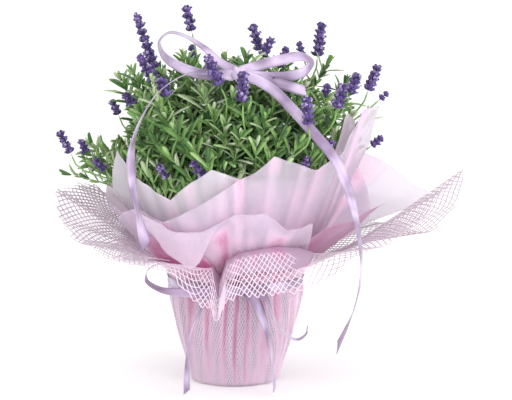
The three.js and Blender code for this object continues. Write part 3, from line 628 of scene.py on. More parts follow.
@dataclass(frozen=True)
class Sections:
    """Sections through a cloth, from the axis outwards, at some azimuths in radians.

    distance: lengths along the cloth.
    radius, height: the cloth's place at each azimuth and distance.
    """

    azimuth: np.ndarray
    distance: np.ndarray
    radius: np.ndarray
    height: np.ndarray

    def point(self, side: int, distance: float) -> Vector:
        """The cloth's point at a distance along one section, in metres.

        Args:
            side: the section's number.
            distance: the distance along the cloth.

        Returns:
            The point.
        """
        out = float(np.interp(distance, self.distance, self.radius[side])) * MM
        up = float(np.interp(distance, self.distance, self.height[side])) * MM
        return Vector((out * math.cos(self.azimuth[side]), out * math.sin(self.azimuth[side]), up))

    def fold_depth_and_painted_shade(self, reaches: np.ndarray, neck: float, around: int, closed: bool) -> np.ndarray:
        """How deep points of the cloth lie between folds and layers; the depth also paints shade.

        Args:
            reaches: their distances, a row for each azimuth.
            neck: the distance at which the collar starts.
            around: how many sections to each way count as neighbours.
            closed: True if the cloth goes all the way round.

        Returns:
            From 0 on a free edge to 1 in the deepest folds.
        """
        sides, beyond = len(reaches), reaches - neck
        radius = np.array([np.interp(reach, self.distance, out) for reach, out in zip(reaches, self.radius)])
        padded = np.pad(radius, ((around, around), (0, 0)), mode="wrap" if closed else "edge")
        count = 2 * around + 1
        middle = sum(padded[i : i + sides] for i in range(count)) / count
        # layers lie close on the wall, most of all under the tie, and part towards the collar's edge; this
        # depth, highest at the neck, is also painted shade there
        on_wall = 0.24 + 0.2 * np.exp(np.minimum(beyond, 0) / 18)
        on_collar = 0.85 * np.exp(-np.maximum(beyond, 0) / 34)
        # painted shade: valleys between creases, where the cloth lies in from its neighbours, get more depth
        folds = np.where(beyond < 0, 0.55, 0.12) * np.clip(middle - radius, -2.0, 3.0)
        return np.clip(np.where(beyond < 0, on_wall, on_collar) + folds, 0.0, 1.0)

    def bent_grid(self, name: str, reaches: np.ndarray, depth: np.ndarray) -> bpy.types.Mesh:
        """Bends a grid into the cloth, closed where the grid has one side more than there are azimuths.

        Args:
            name: the mesh's name.
            reaches: the distances of its rows, one row of them for each side of the grid.
            depth: the attribute depth for each of them, which carries layers and painted shade.

        Returns:
            The mesh.
        """
        sides, rows = reaches.shape[0] - 1, reaches.shape[1] - 1
        form = bmesh.new()
        layer = form.verts.layers.float.new("depth")
        grid = bmesh.ops.create_grid(form, x_segments=sides, y_segments=rows, size=1.0)
        for vertex in grid["verts"]:
            side = round((vertex.co.x + 1) / 2 * sides) % len(self.azimuth)
            row = round((vertex.co.y + 1) / 2 * rows)
            vertex[layer] = depth[side, row]
            vertex.co = self.point(side, reaches[side, row])
        if sides == len(self.azimuth):
            bmesh.ops.remove_doubles(form, verts=form.verts, dist=1e-6)
        bmesh.ops.recalc_face_normals(form, faces=form.faces)
        return mesh_of(name, form)


@dataclass(frozen=True)
class Drape:
    """The form that the nested squares share: under the pot, up it in gathers, in at the tie and out.

    pitch: how far apart the squares' middles lie.
    least_step_angle: how much more steeply each square climbs than the one outside it, at least.
    fold_turns, fold_starts, fold_spans: azimuths, and the lengths past the neck at which the net's front
    starts to bend over and over which it does.
    crease_waves: swing, waves round the pot, phase in radians, and drift in radians a millimetre.
    knot_azimuth: where the front gathers meet, in radians.
    """

    pot_height: float = 109.0
    pot_top_radius: float = 61.0
    pot_foot_radius: float = 41.0
    pot_lip: float = 1.6
    clearance: float = 0.35
    thickness: float = 0.6
    pitch: float = 1.0
    neck_height: float = 112.0
    tie_height: float = 101.0
    pleat_depth: float = 4.2
    pleats: int = 10
    gather: float = 3.8
    gathers: int = 19
    wrinkle: float = 1.1
    bend_length: float = 110.0
    least_step_angle: float = 4.0
    step: float = 2.0
    longest: float = 200.0
    floor_reach: float = 42.0
    fold_turns: tuple[float, ...] = (236, 244, 251, 257, 261.5, 266, 274, 284, 294, 304, 313, 322)
    fold_starts: tuple[float, ...] = (0, 6, 12, 14, 4, 24, 32, 36, 38, 34, 16, 0)
    fold_spans: tuple[float, ...] = (110, 60, 26, 22, 24, 22, 22, 22, 24, 40, 80, 110)
    crease_waves: tuple[tuple[float, float, float, float], ...] = (
        (1.2, 15, 0.6, 0.0), (0.8, 26, 2.1, 0.012), (0.3, 47, 4.0, -0.02),
    )
    knot_azimuth: float = 4.8
    wall_heights: tuple[float, ...] = tuple(float(h) for h in range(1, 111, 3))

    @property
    def neck_reach(self) -> float:
        """How far along the cloth the neck is from the centre of the foot."""
        return self.floor_reach + self.neck_height

    def pot_radius(self, height: np.ndarray | float) -> np.ndarray | float:
        """The pot's radius at a height."""
        return self.pot_foot_radius + (self.pot_top_radius - self.pot_foot_radius) * height / self.pot_height

    def spoke_values(self, square: Square, azimuth: np.ndarray) -> tuple[np.ndarray, np.ndarray, np.ndarray]:
        """Reads a square's spokes at some azimuths.

        Args:
            square: the square.
            azimuth: azimuths in radians.

        Returns:
            Elevation at the neck, elevation at the edge, and length.
        """
        table = np.array(square.spokes, float)
        table = np.vstack([table[-1] - [360, 0, 0, 0], table, table[0] + [360, 0, 0, 0]])
        turn = np.degrees(azimuth) % 360
        high = np.clip(np.searchsorted(table[:, 0], turn, side="right"), 1, len(table) - 1)
        low = high - 1
        share = (turn - table[low, 0]) / (table[high, 0] - table[low, 0])
        eased = 0.5 * share + 0.5 * smooth(share)
        neck = table[low, 1] + (table[high, 1] - table[low, 1]) * eased
        edge = table[low, 2] + (table[high, 2] - table[low, 2]) * eased
        length = table[low, 3] + (table[high, 3] - table[low, 3]) * share
        return neck, edge, length

    def edge_reach(self, square: Square, azimuth: np.ndarray) -> np.ndarray:
        """How far along the cloth a square's edge is from the centre of the foot."""
        return self.neck_reach + self.spoke_values(square, azimuth)[2]

    def creases(self, azimuth: np.ndarray, reach: np.ndarray) -> np.ndarray:
        """Small radial folds that all the squares share, as degrees added to their elevation."""
        folds = sum(
            swing * np.sin(waves * azimuth + phase + drift * reach)
            for swing, waves, phase, drift in self.crease_waves
        )
        return folds * smooth((reach - 8) / 50)

    def elevation(self, layer: int, azimuth: np.ndarray, reach: np.ndarray) -> np.ndarray:
        """How steeply a square climbs, in degrees, before its creases.

        Args:
            layer: 0 for the net, which is outermost, folds over sharply at the front and hangs.
            azimuth: azimuths in radians, down the rows.
            reach: cloth lengths from the neck, along the columns.

        Returns:
            One elevation for each azimuth and reach.
        """
        neck, edge, _ = self.spoke_values(SQUARES[layer], azimuth[:, 0])
        bend = smooth(reach / self.bend_length)
        if layer == 0:
            turn = np.degrees(azimuth) % 360
            start = np.interp(turn, self.fold_turns, self.fold_starts)
            bend = smooth((reach - start) / np.interp(turn, self.fold_turns, self.fold_spans))
        own = neck[:, None] + (edge - neck)[:, None] * bend
        if layer == 0:
            return own
        return np.maximum(own, self.elevation(layer - 1, azimuth, reach) + self.least_step_angle)

    def wall_radius(self, layer: float, azimuth: np.ndarray, height: np.ndarray | float) -> np.ndarray:
        """How far a square stands from the pot's axis beside its wall.

        Args:
            layer: 0 for the outermost square.
            azimuth: azimuths in radians.
            height: the height above the floor.

        Returns:
            One radius for each azimuth.
        """
        offset = self.clearance + self.thickness / 2 + (2 - layer) * self.pitch
        rise = smooth((height - 12) / 70)
        swell = 0.35 + 0.65 * smooth((height - 4) / 40)
        pulled_in = 1 - 0.75 * np.exp(-(((height - self.tie_height) / 7) ** 2))
        pleats = 0.5 + 0.3 * np.cos(self.pleats * azimuth) + 0.2 * np.cos(5 * azimuth + 1.3)
        # the front gathers fan out downwards from the knot
        turn = (azimuth - self.knot_azimuth + math.pi) % (2 * math.pi) - math.pi
        fanned = turn * (1 + 0.8 * smooth(height / 110) * np.exp(-((turn / 1.1) ** 2)))
        swayed = self.gathers * fanned + 1.6 * np.sin(4 * fanned + 0.4)
        ridges = (0.5 + 0.5 * np.sin(swayed + 0.5 * np.sin(0.05 * height + 3 * fanned))) ** 1.4
        ridges = ridges * (0.65 + 0.35 * np.cos(7 * fanned + 1.0)) * (1 - 0.35 * smooth((height - 90) / 12))
        wrinkles = 0.5 + 0.3 * np.sin(31 * fanned + 0.05 * height + 0.8 * np.sin(5 * fanned))
        wrinkles = (wrinkles + 0.2 * np.sin(47 * fanned - 0.06 * height)) * (1 - smooth((height - 84) / 12))
        gathered = rise * pulled_in * self.pleat_depth * pleats
        gathered = gathered + swell * (self.gather * ridges + self.wrinkle * wrinkles)
        return self.pot_radius(height) + self.pot_lip + offset + gathered

    def sections(self, square: Square, azimuth: np.ndarray) -> Sections:
        """Works out the middle of a square's cloth from the centre of its foot outwards.

        Args:
            square: the square.
            azimuth: azimuths in radians.

        Returns:
            Its sections, which run on past its edge.
        """
        layer = square.layer
        turns = azimuth[:, None]
        floor = self.thickness / 2 + layer * self.pitch
        collar_height = self.neck_height + layer * self.pitch
        foot = self.wall_radius(layer, azimuth, 0.0) - self.pot_lip
        distances = [0.0, 14.0, 28.0, self.floor_reach - 2]
        radii = [foot * 0.0, foot * 0.34, foot * 0.68, foot - 1.5]
        heights = [foot * 0.0 + floor] * 4
        for height in self.wall_heights:
            ease = self.pot_lip * (1 - smooth(height / 60))
            distances.append(self.floor_reach + height)
            radii.append(self.wall_radius(layer, azimuth, height) - ease)
            heights.append(foot * 0.0 + max(height, floor + 1.5))
        distances.append(self.neck_reach)
        radii.append(self.wall_radius(layer, azimuth, self.neck_height))
        heights.append(foot * 0.0 + collar_height)
        middles = (np.arange(0, self.longest, self.step) + self.step / 2)[None, :]
        slope = (self.elevation(layer, turns, middles) + self.creases(turns, middles)) * DEGREE
        out = self.wall_radius(layer, turns, self.neck_height) + np.cumsum(self.step * np.cos(slope), axis=1)
        up = collar_height + np.cumsum(self.step * np.sin(slope), axis=1)
        return Sections(
            azimuth,
            np.concatenate([np.array(distances), self.neck_reach + middles[0] + self.step / 2]),
            np.concatenate([np.array(radii).T, out], axis=1),
            np.concatenate([np.array(heights).T, up], axis=1),
        )


DRAPE = Drape()


@dataclass
class FleeceSheet:
    """A square of fleece, as one closed sheet."""

    square: Square
    finish: Finish
    slot: str
    sides: int = 320
    collar_rows: int = 34
    thickness: float = 0.45

    def azimuths(self) -> np.ndarray:
        """Even azimuths, with the nearest one moved to each spoke so that the peaks stay sharp.

        Returns:
            The azimuths of the sheet's sides, in radians.
        """
        even = np.arange(self.sides) * 2 * math.pi / self.sides
        for spoke in self.square.spokes:
            even[int(np.argmin(np.abs(even - spoke[0] * DEGREE)))] = spoke[0] * DEGREE
        return even

    def build(self) -> bpy.types.Object:
        """Bends a grid into the square's place and closes it round the pot.

        Returns:
            The piece.
        """
        azimuth = self.azimuths()
        sections = DRAPE.sections(self.square, azimuth)
        neck = DRAPE.neck_reach
        below = [0.0, 20.0, DRAPE.floor_reach - 2]
        below += [DRAPE.floor_reach + height for height in DRAPE.wall_heights]
        shares = np.arange(self.collar_rows) / (self.collar_rows - 1)
        ends = DRAPE.edge_reach(self.square, azimuth)
        reaches = np.array([below + list(neck + (end - neck) * shares) for end in ends])
        depth = sections.fold_depth_and_painted_shade(reaches, neck, 7, True)
        mesh = sections.bent_grid(self.square.name, np.vstack([reaches, reaches[:1]]), depth)
        piece = finish_piece(self.square.name, mesh, [self.finish], self.square.node)
        thicken(piece, self.thickness)
        return piece

    def declare(self, piece: bpy.types.Object) -> None:
        """Does nothing with the sheet."""


# each row holds an azimuth, the elevations at the neck and the lip, the length to the lip, and the length
# that turns over there
FRONT_FOLD = (
    (193, 42, 42, 24, 0), (200, 46, 46, 74, 2), (211, 49, 50, 80, 3), (222, 54, 55, 82, 8),
    # the flap that hangs over at the left
    (231, 50, 50, 74, 17), (237, 48, 47, 67, 24), (242, 49, 46, 62, 29), (247, 52, 46, 60, 35),
    (251, 56, 47, 60, 40), (254.5, 59, 48, 60, 34), (259, 61, 49, 63, 18), (264, 60, 50, 68, 5),
    (270.8, 55, 53, 78, 3), (283.5, 49, 56, 83, 3), (290, 48, 50, 73, 4), (295.6, 46, 43, 66, 4),
    (301.7, 44, 42, 73, 2), (304.8, 42, 40, 84, 1), (308, 38, 36, 66, 1), (312, 36, 30, 46, 0),
    (318, 34, 32, 14, 0),
)
# an elevation of -90 lets the cloth lie on the net and hang over with it
LOBE_FOLD = tuple(
    (azimuth, -90, -90, length, 0)
    for azimuth, length in (
        (256, 24), (262, 40), (267, 58), (274, 64), (284, 69), (294, 75), (303, 78), (308, 66), (312, 30),
    )
)
SIDE_FOLD = (
    (304, 46, 40, 20, 0), (309, 46, 36, 60, 0), (316, 46, 36, 76, 0), (324, 44, 36, 90, 0),
    (332, 42, 38, 104, 0), (338, 41, 38, 108, 0), (345, 40, 38, 84, 0), (352, 40, 38, 30, 0),
    (356, 40, 38, 12, 0),
)
LEFT_FOLD = (
    (203, 41, 41, 16, 0), (210, 45, 45, 40, 0), (218, 48, 48, 52, 0), (226, 49, 49, 56, 0),
    (234, 46, 45, 52, 0), (242, 45, 42, 47, 0), (250, 52, 44, 36, 0), (256, 56, 45, 12, 0),
)


@dataclass
class FoldedPart:
    """A part of the outer square that is folded outwards, apart from its collar.

    flat: its size before it was folded, in metres; not used.
    layer: how far in it lies at the neck, between the net's 0 and the outer square's 1.
    lift: how much more steeply than the net it climbs, at least.
    painted_shade: the depth added all over it, as painted shade under the net and in the folds.
    turn_over, tightness: how far its lip turns over, and in what length.
    first: how far past the neck it starts.
    """

    name: str
    table: tuple[tuple[float, float, float, float, float], ...]
    flat: tuple[float, float]
    layer: float = 0.6
    lift: float = 4.0
    # painted shade: depth added all over the part
    painted_shade: float = 0.0
    finish: Finish = Finish.OUTER_FLEECE
    sides: int = 200
    rows: int = 44
    turn_over: float = 125.0
    tightness: float = 9.0
    first: float = 3.0
    step: float = 1.0
    thickness: float = 0.35

    def build(self) -> bpy.types.Object:
        """Bends a grid into a sector of a collar.

        Returns:
            The piece.
        """
        turns, necks, lips, lengths, overs = np.array(self.table, float).T
        degrees = np.linspace(turns[0], turns[-1], self.sides + 1)
        azimuth = degrees * DEGREE
        columns = (necks, lips, lengths, overs)
        neck, lip, length, over = (np.interp(degrees, turns, column)[:, None] for column in columns)
        longest = float((length + over).max()) + 2
        middles = (np.arange(0, longest, self.step) + self.step / 2)[None, :]
        around = azimuth[:, None]
        own = neck + (lip - neck) * smooth(middles / length)
        own = np.maximum(own, DRAPE.elevation(0, around, middles) + self.lift)
        own = np.minimum(own, DRAPE.elevation(1, around, middles) - 3) + DRAPE.creases(around, middles)
        slope = (own - self.turn_over * smooth((middles - length) / self.tightness)) * DEGREE
        out = DRAPE.wall_radius(self.layer, azimuth, DRAPE.neck_height)[:, None]
        out = out + np.cumsum(self.step * np.cos(slope), axis=1)
        up = DRAPE.neck_height + self.layer + np.cumsum(self.step * np.sin(slope), axis=1)
        sections = Sections(azimuth, middles[0] + self.step / 2, out, up)
        shares = np.arange(self.rows) / (self.rows - 1)
        reaches = self.first + (length + over - self.first) * shares
        # the lip that turns over gets no depth and is painted palest: partly a single layer, partly painted
        # light
        depth = sections.fold_depth_and_painted_shade(reaches, 0.0, 14, False) * smooth((length - reaches) / 14)
        mesh = sections.bent_grid(self.name, reaches, self.painted_shade + depth)
        piece = finish_piece(self.name, mesh, [self.finish], "fleece_outer")
        thicken(piece, self.thickness)
        return piece

    def declare(self, piece: bpy.types.Object) -> None:
        """Does nothing with the folded part."""


@dataclass
class DiamondNet:
    """The net: strands that cross in diamonds, cut off at the square's edge.

    flat: its size before it was gathered, in metres; not used.
    sector: the azimuths that it covers.
    from_neck: how far past the neck it starts, or under 0 for the whole net.
    lift: how far it lies above the net's own place.
    columns, row: how many diamonds go round it, and half a diamond's height.
    strand, stretched: its yarn's radius, and the share of it where the net is pulled tight over the pot.
    first_reach: where its strands start, from the centre of the foot.
    """

    name: str = "pink_net"
    flat: tuple[float, float] = (0.44, 0.44)
    sector: tuple[float, float] = (0.0, 360.0)
    from_neck: float = -200.0
    lift: float = 0.0
    strand: float = 0.45
    first_reach: float = 26.0
    square: Square = NET
    columns: int = 144
    row: float = 3.25
    stretched: float = 0.56
    front_azimuth: float = 272.0

    def runs(self) -> list[list[Vector]]:
        """The strands as lists of points, each broken where it leaves the square.

        Returns:
            Points along each, in metres.
        """
        sides = self.columns * 2
        azimuth = np.arange(sides) * 2 * math.pi / sides
        sections = DRAPE.sections(self.square, azimuth)
        start, ends = DRAPE.neck_reach + self.from_neck, DRAPE.edge_reach(self.square, azimuth)
        raised = Vector((0, 0, self.lift * MM))
        found = []
        for first in range(0, sides, 2):
            for way in (-1, 1):
                run: list[Vector] = []
                reach, side = self.first_reach, first
                while reach < float(ends.max()):
                    at = side % sides
                    covered = self.sector[0] <= math.degrees(azimuth[at]) <= self.sector[1]
                    if covered and start < reach <= ends[at]:
                        run.append(sections.point(at, reach) + raised)
                    elif run:
                        found.append(run)
                        run = []
                    reach += self.row
                    side += way
                if run:
                    found.append(run)
        return [run for run in found if len(run) > 2]

    def strands(self) -> bpy.types.Mesh:
        """Turns the runs into thin closed tubes.

        Returns:
            One mesh for all of them.
        """
        curve = bpy.data.curves.new("strands", "CURVE")
        curve.dimensions = "3D"
        curve.bevel_depth = self.strand * MM
        curve.bevel_resolution = 0
        curve.use_fill_caps = True
        for run in self.runs():
            spline = curve.splines.new("POLY")
            spline.points.add(len(run) - 1)
            for point, place in zip(spline.points, run):
                point.co = (*place, 1.0)
                past_pot = math.hypot(place.x, place.y) / MM - 66
                point.radius = self.stretched + (1 - self.stretched) * float(smooth(past_pot / 24))
        carrier = add_object("strands", curve)
        graph = bpy.context.evaluated_depsgraph_get()
        mesh = bpy.data.meshes.new_from_object(carrier.evaluated_get(graph))
        bpy.data.objects.remove(carrier)
        return mesh

    def build(self) -> bpy.types.Object:
        """Makes the net, with the attribute tone at 1 where it hangs in the air, which paints shade there.

        Returns:
            The piece.
        """
        mesh = self.strands()
        places = np.zeros(len(mesh.vertices) * 3)
        mesh.vertices.foreach_get("co", places)
        x, y, _ = places.reshape(-1, 3).T / MM
        from_front = np.abs((np.degrees(np.arctan2(y, x)) - self.front_azimuth + 180) % 360 - 180)
        # painted shade: greyer away from the pot, except near the front
        tone = smooth((np.hypot(x, y) - 76) / 40) * smooth((from_front - 22) / 20)
        mesh.attributes.new("tone", "FLOAT", "POINT").data.foreach_set("value", tone)
        return finish_piece(self.name, mesh, [Finish.NET], self.square.node)

    def declare(self, piece: bpy.types.Object) -> None:
        """Does nothing with the net."""


# Ribbons


@dataclass(frozen=True)
class Strip:
    """A length of ribbon.

    points: place along its middle, and the way that its width lies.
    cut: how much shorter one edge is than the other at the end.
    """

    points: tuple[tuple[float, float, float, float, float, float], ...]
    cut: float = 0.0

    def path(self) -> list[Vector]:
        """The strip's middle, in metres."""
        return [Vector(point[:3]) * MM for point in self.points]

    def width_at(self, share: float) -> Vector:
        """Which way the width lies at a share of the strip.

        Args:
            share: 0 at its first point and 1 at its last.

        Returns:
            A unit direction.
        """
        ways = [Vector(point[3:]).normalized() for point in self.points]
        at = share * (len(ways) - 1)
        low = min(len(ways) - 2, int(at))
        return ways[low].lerp(ways[low + 1], at - low).normalized()


# the left loop, the right loop, the two long tails and the short one
BOW_STRIPS = (
    Strip(
        (
            (2, -70, 309, 0, 0.3, 1), (-12, -70, 317, 0.3, 0.7, 0.7), (-28, -67, 331, 0.4, 0.9, 0.4),
            (-46, -63, 342, 0.1, 1, 0.3), (-61, -61, 345, 0, 1, 0.3), (-70, -62, 337, -0.3, 1, 0.1),
            (-66, -67, 324, -0.4, 0.7, -0.5), (-50, -72, 313, -0.3, 0.2, -1), (-27, -76, 306, 0, 0, -1),
            (0, -73, 306, 0, -0.2, -1),
        )
    ),
    Strip(
        (
            (6, -71, 309, 0, 0.2, 1), (26, -72, 315, -0.3, 0.1, 1), (46, -70, 320, -0.2, 0.1, 1),
            (64, -67, 323, 0, 0.6, 0.8), (73, -66, 317, 0.6, 0.8, 0.4), (65, -70, 308, 0.2, 0.3, -1),
            (47, -74, 304, 0.1, 0.3, -1), (26, -76, 304, 0, 0, -1), (6, -73, 306, 0, 0, -1),
        )
    ),
    Strip(
        (
            (0, -74, 305, 0, -0.2, 1), (-22, -80, 307, 0.1, 1, 0.3), (-44, -86, 306, 0.1, 1, 0.1),
            (-68, -93, 291, 0.1, 1, 0.1), (-84, -99, 267, 0.1, 1, 0), (-92, -104, 245, 0.3, 1, 0),
            (-94, -107, 226, 0.8, 0.6, 0), (-92, -108, 203, 0.7, 0.8, 0), (-88, -109, 181, 0.3, 1, 0),
            (-83, -109, 158, 0.9, 0.4, 0), (-80, -108, 144, 0.9, 0.3, 0),
        ),
        8,
    ),
    Strip(
        (
            (8, -75, 306, 0, -0.1, 1), (22, -80, 301, 0.3, 0, 1), (38, -84, 291, 0.6, 0, 0.8),
            (54, -88, 275, 0.8, 0, 0.6), (73, -92, 254, 0.8, 0.1, 0.5), (93, -98, 230, 0.9, 0.2, 0.4),
            (104, -107, 207, 0.8, 0.5, 0.3), (110, -124, 186, 0.6, 0.9, 0.2), (114, -136, 164, 0.5, 1, 0),
            (116, -143, 142, 0.3, 1, 0), (115, -145, 119, 0.3, 1, 0), (110, -145, 97, 0.2, 1, 0),
            (102, -143, 76, -0.1, 1, 0.2), (93, -140, 56, -0.3, 1, 0.2),
        ),
        9,
    ),
    Strip(
        (
            (8, -74, 304, 0, 0, 1), (26, -77, 301, 0.3, -0.2, 1), (48, -79, 296, 0.3, -0.1, 1),
            (70, -76, 290, 0.3, 0, 1),
        ),
        5,
    ),
)
# the loop, the two straight tails and the curled one
TIE_STRIPS = (
    Strip(
        (
            (9, -72, 101, 0, 0, 1), (-28, -75, 99, 0, 0.4, 1), (-54, -72, 99, 0, 0.8, 0.7),
            (-72, -65, 101, 0.2, 1, 0.3), (-84, -59, 108, 0.2, 1, 0.1), (-84, -56, 117, -0.1, 1, -0.1),
            (-75, -54, 123, -0.2, 1, -0.2), (-62, -53, 123, -0.2, 1, -0.3),
        )
    ),
    Strip(
        (
            (8, -73, 101, 0.3, 0, 1), (-14, -78, 99, 0.6, 0, 0.8), (-27, -80, 89, 0.6, 0.8, 0.4),
            (-37, -80, 71, 0.3, 1, 0.2), (-43, -78, 47, 0.2, 1, 0), (-45, -77, 20, 0.5, 1, 0),
            (-45, -80, 2, 0.6, 0.9, 0),
        ),
        4,
    ),
    Strip(
        (
            (12, -73, 101, 0.5, 0, 1), (20, -80, 93, 0.9, 0.2, 0.5), (29, -83, 73, 0.6, 0.9, 0.3),
            (35, -80, 47, 0.2, 1, 0.2), (38, -76, 21, 0.1, 1, 0), (39, -80, 3, 0.3, 1, 0.1),
        ),
        6,
    ),
    Strip(
        (
            (14, -73, 101, 0, 0.2, 1), (30, -79, 95, 0.3, 1, 0.3), (38, -81, 77, 0.1, 1, 0.1),
            (48, -79, 61, 0, 1, 0.1), (60, -73, 54, 0, 1, 0), (69, -66, 58, 0, 1, 0), (71, -63, 66, 0, 1, 0),
        ),
        4,
    ),
)


@dataclass
class RibbonWork:
    """Ribbon tied in a knot, with its loops and tails.

    cup: how far its middle stands above its edges.
    steps, across: how many parts each stretch between points has, and its width.
    knot_place, knot_radii, knot_lean: the knot's middle, its half sizes, and its pleats' lean in radians.
    """

    name: str
    node: str
    strips: tuple[Strip, ...]
    width: float = 10.0
    thickness: float = 0.4
    cup: float = 0.4
    steps: int = 9
    across: int = 4
    knot_place: tuple[float, float, float] = (5, -73, 307)
    knot_radii: tuple[float, float, float] = (7.5, 4.6, 7.0)
    knot_lean: float = 0.5

    def lay(self, form: bmesh.types.BMesh, strip: Strip) -> None:
        """Lays a grid along a strip's path.

        Args:
            form: what the grid is added to.
            strip: the strip.
        """
        path = strip.path()
        count = (len(path) - 1) * self.steps
        grid = bmesh.ops.create_grid(form, x_segments=count, y_segments=self.across, size=1.0, calc_uvs=True)
        for vertex in grid["verts"]:
            share, side = (vertex.co.x + 1) / 2, vertex.co.y / 2
            tangent = path_tangent(path, share)
            way = strip.width_at(share)
            way = (way - tangent * way.dot(tangent)).normalized()
            slant = strip.cut * max(0.0, (share - 0.9) / 0.1) * (side + 0.5)
            vertex.co = (
                path_point(path, share)
                + way * (side * self.width * MM)
                + tangent.cross(way) * (self.cup * (1 - 4 * side * side) * MM)
                - tangent * (slant * MM)
            )

    def knot(self, form: bmesh.types.BMesh, centre: Vector) -> None:
        """Winds a short pleated band round the crossing of the strips.

        Args:
            form: what the band is added to.
            centre: the knot's middle, in metres.
        """
        lean = self.knot_lean
        wide, deep, high = self.knot_radii
        ball = bmesh.ops.create_uvsphere(form, u_segments=28, v_segments=16, radius=1.0)
        for vertex in ball["verts"]:
            x, y, z = vertex.co
            pleat = 1 + 0.07 * math.cos(7 * (x * math.cos(lean) + z * math.sin(lean)))
            squeeze = 1 - 0.16 * math.exp(-((x / 0.3) ** 2))
            vertex.co = centre + Vector((x * wide * pleat, y * deep * pleat, z * high * pleat * squeeze)) * MM

    def extras(self, form: bmesh.types.BMesh) -> None:
        """Adds what holds the strips."""
        self.knot(form, Vector(self.knot_place) * MM)

    def build(self) -> bpy.types.Object:
        """Builds the ribbon as one piece.

        Returns:
            The piece.
        """
        form = bmesh.new()
        form.loops.layers.uv.new("strip")
        for strip in self.strips:
            self.lay(form, strip)
        bmesh.ops.solidify(form, geom=list(form.faces), thickness=self.thickness * MM)
        self.extras(form)
        return finish_piece(self.name, mesh_of(self.name, form), [Finish.RIBBON], self.node)

    def declare(self, piece: bpy.types.Object, extra: float, rests_on: str) -> None:
        """Works out the strips' paths and does nothing more with them.

        Args:
            piece: the ribbon; not used.
            extra: length in the knot and band, in metres; not used.
            rests_on: the node or piece that carries it; not used.
        """
        paths = [strip.path() for strip in self.strips]


@dataclass
class TieRibbon(RibbonWork):
    """The ribbon round the pot's rim, over the gathered squares.

    band_half: half the band's width, as a share of the ribbon's.
    knot_out: how far the knot stands out from the cloth.
    """

    knot_radii: tuple[float, float, float] = (7.5, 3.4, 6.2)
    knot_lean: float = -0.4
    knot_azimuth: float = 278.0
    knot_out: float = 6.0
    band_sides: int = 240
    band_half: float = 0.42

    def cloth_radius(self, azimuth: float, height: float) -> float:
        """How far out the net is at an azimuth in radians and a height."""
        return float(DRAPE.wall_radius(0, np.array([azimuth]), height)[0])

    def extras(self, form: bmesh.types.BMesh) -> None:
        """Adds the band and the knot.

        Args:
            form: what they are added to.
        """
        tie_height = DRAPE.tie_height
        strips = set(form.verts)
        grid = bmesh.ops.create_grid(form, x_segments=self.band_sides, y_segments=3, size=1.0, calc_uvs=True)
        for vertex in grid["verts"]:
            azimuth = (vertex.co.x + 1) * math.pi
            height = tie_height + vertex.co.y * self.width * self.band_half
            cloth = max(self.cloth_radius(azimuth, height), self.cloth_radius(azimuth, tie_height))
            radius = cloth + 1.3 + 0.3 * math.sin(9 * azimuth + 3 * vertex.co.y)
            vertex.co = Vector((radius * math.cos(azimuth), radius * math.sin(azimuth), height)) * MM
        band = [vertex for vertex in form.verts if vertex not in strips]
        bmesh.ops.remove_doubles(form, verts=band, dist=1e-6)
        faces = [face for face in form.faces if all(vertex not in strips for vertex in face.verts)]
        bmesh.ops.recalc_face_normals(form, faces=faces)
        bmesh.ops.solidify(form, geom=faces, thickness=self.thickness * MM)
        azimuth = self.knot_azimuth * DEGREE
        radius = self.cloth_radius(azimuth, tie_height) + self.knot_out
        self.knot(form, Vector((radius * math.cos(azimuth), radius * math.sin(azimuth), tie_height + 1)) * MM)


# Bush


@dataclass(frozen=True)
class Head:
    """A flower head: where it starts and ends, how many whorls it has, its radius, and how open it is."""

    base: tuple[float, float, float]
    tip: tuple[float, float, float]
    whorls: int
    radius: float
    bloom: float = 1.0

    def ends(self) -> tuple[Vector, Vector]:
        """The head's base and tip."""
        return Vector(self.base), Vector(self.tip)


FRONT_HEADS = (
    Head((-76, -10, 302), (-97, -10, 366), 9, 6.6),
    Head((-43, 20, 346), (-49, 20, 373), 4, 6.5),
    Head((-75, -50, 298), (-91, -50, 324), 5, 6),
    Head((-62, -78, 284), (-68, -76, 302), 3, 7),
    Head((-96, -20, 273), (-107, -20, 286), 3, 6),
    Head((-115, 0, 264), (-122, 0, 279), 3, 5),
    Head((-160, -20, 227), (-172, -20, 250), 4, 5.5),
    Head((-149, 10, 225), (-154, 10, 239), 3, 5, 0.6),
    Head((-126, -24, 211), (-137, -26, 223), 3, 5),
    Head((-62, -80, 208), (-70, -84, 222), 3, 5, 1.3),
    Head((-27, -92, 209), (-38, -96, 227), 3, 5.5, 1.3),
    Head((-12, -90, 295), (-24, -90, 323), 5, 7),
    Head((9, -101, 280), (9, -101, 308), 5, 7, 1.2),
    Head((26, 15, 327), (17, 15, 354), 4, 6.5),
    Head((27, -9, 321), (36, -9, 340), 4, 6, 0.6),
    Head((68, 25, 322), (64, 25, 337), 3, 4.5, 0.2),
    Head((82, 15, 321), (87, 15, 356), 6, 6.5),
    Head((69, -103, 259), (67, -103, 286), 5, 6.5),
    Head((87, -38, 282), (90, -38, 296), 3, 5, 0.7),
    Head((97, -70, 273), (103, -70, 296), 5, 6.5, 1.2),
    Head((112, -30, 286), (119, -30, 305), 4, 6.5),
    Head((131, -5, 288), (141, -5, 313), 5, 6.5),
    Head((144, 14, 279), (153, 14, 287), 2, 4.5, 0.2),
    Head((138, 40, 231), (150, 42, 240), 3, 5, 0.5),
    Head((85, -84, 235), (93, -90, 245), 2, 5, 0.6),
    Head((65, -73, 215), (70, -76, 229), 3, 5, 1.3),
)


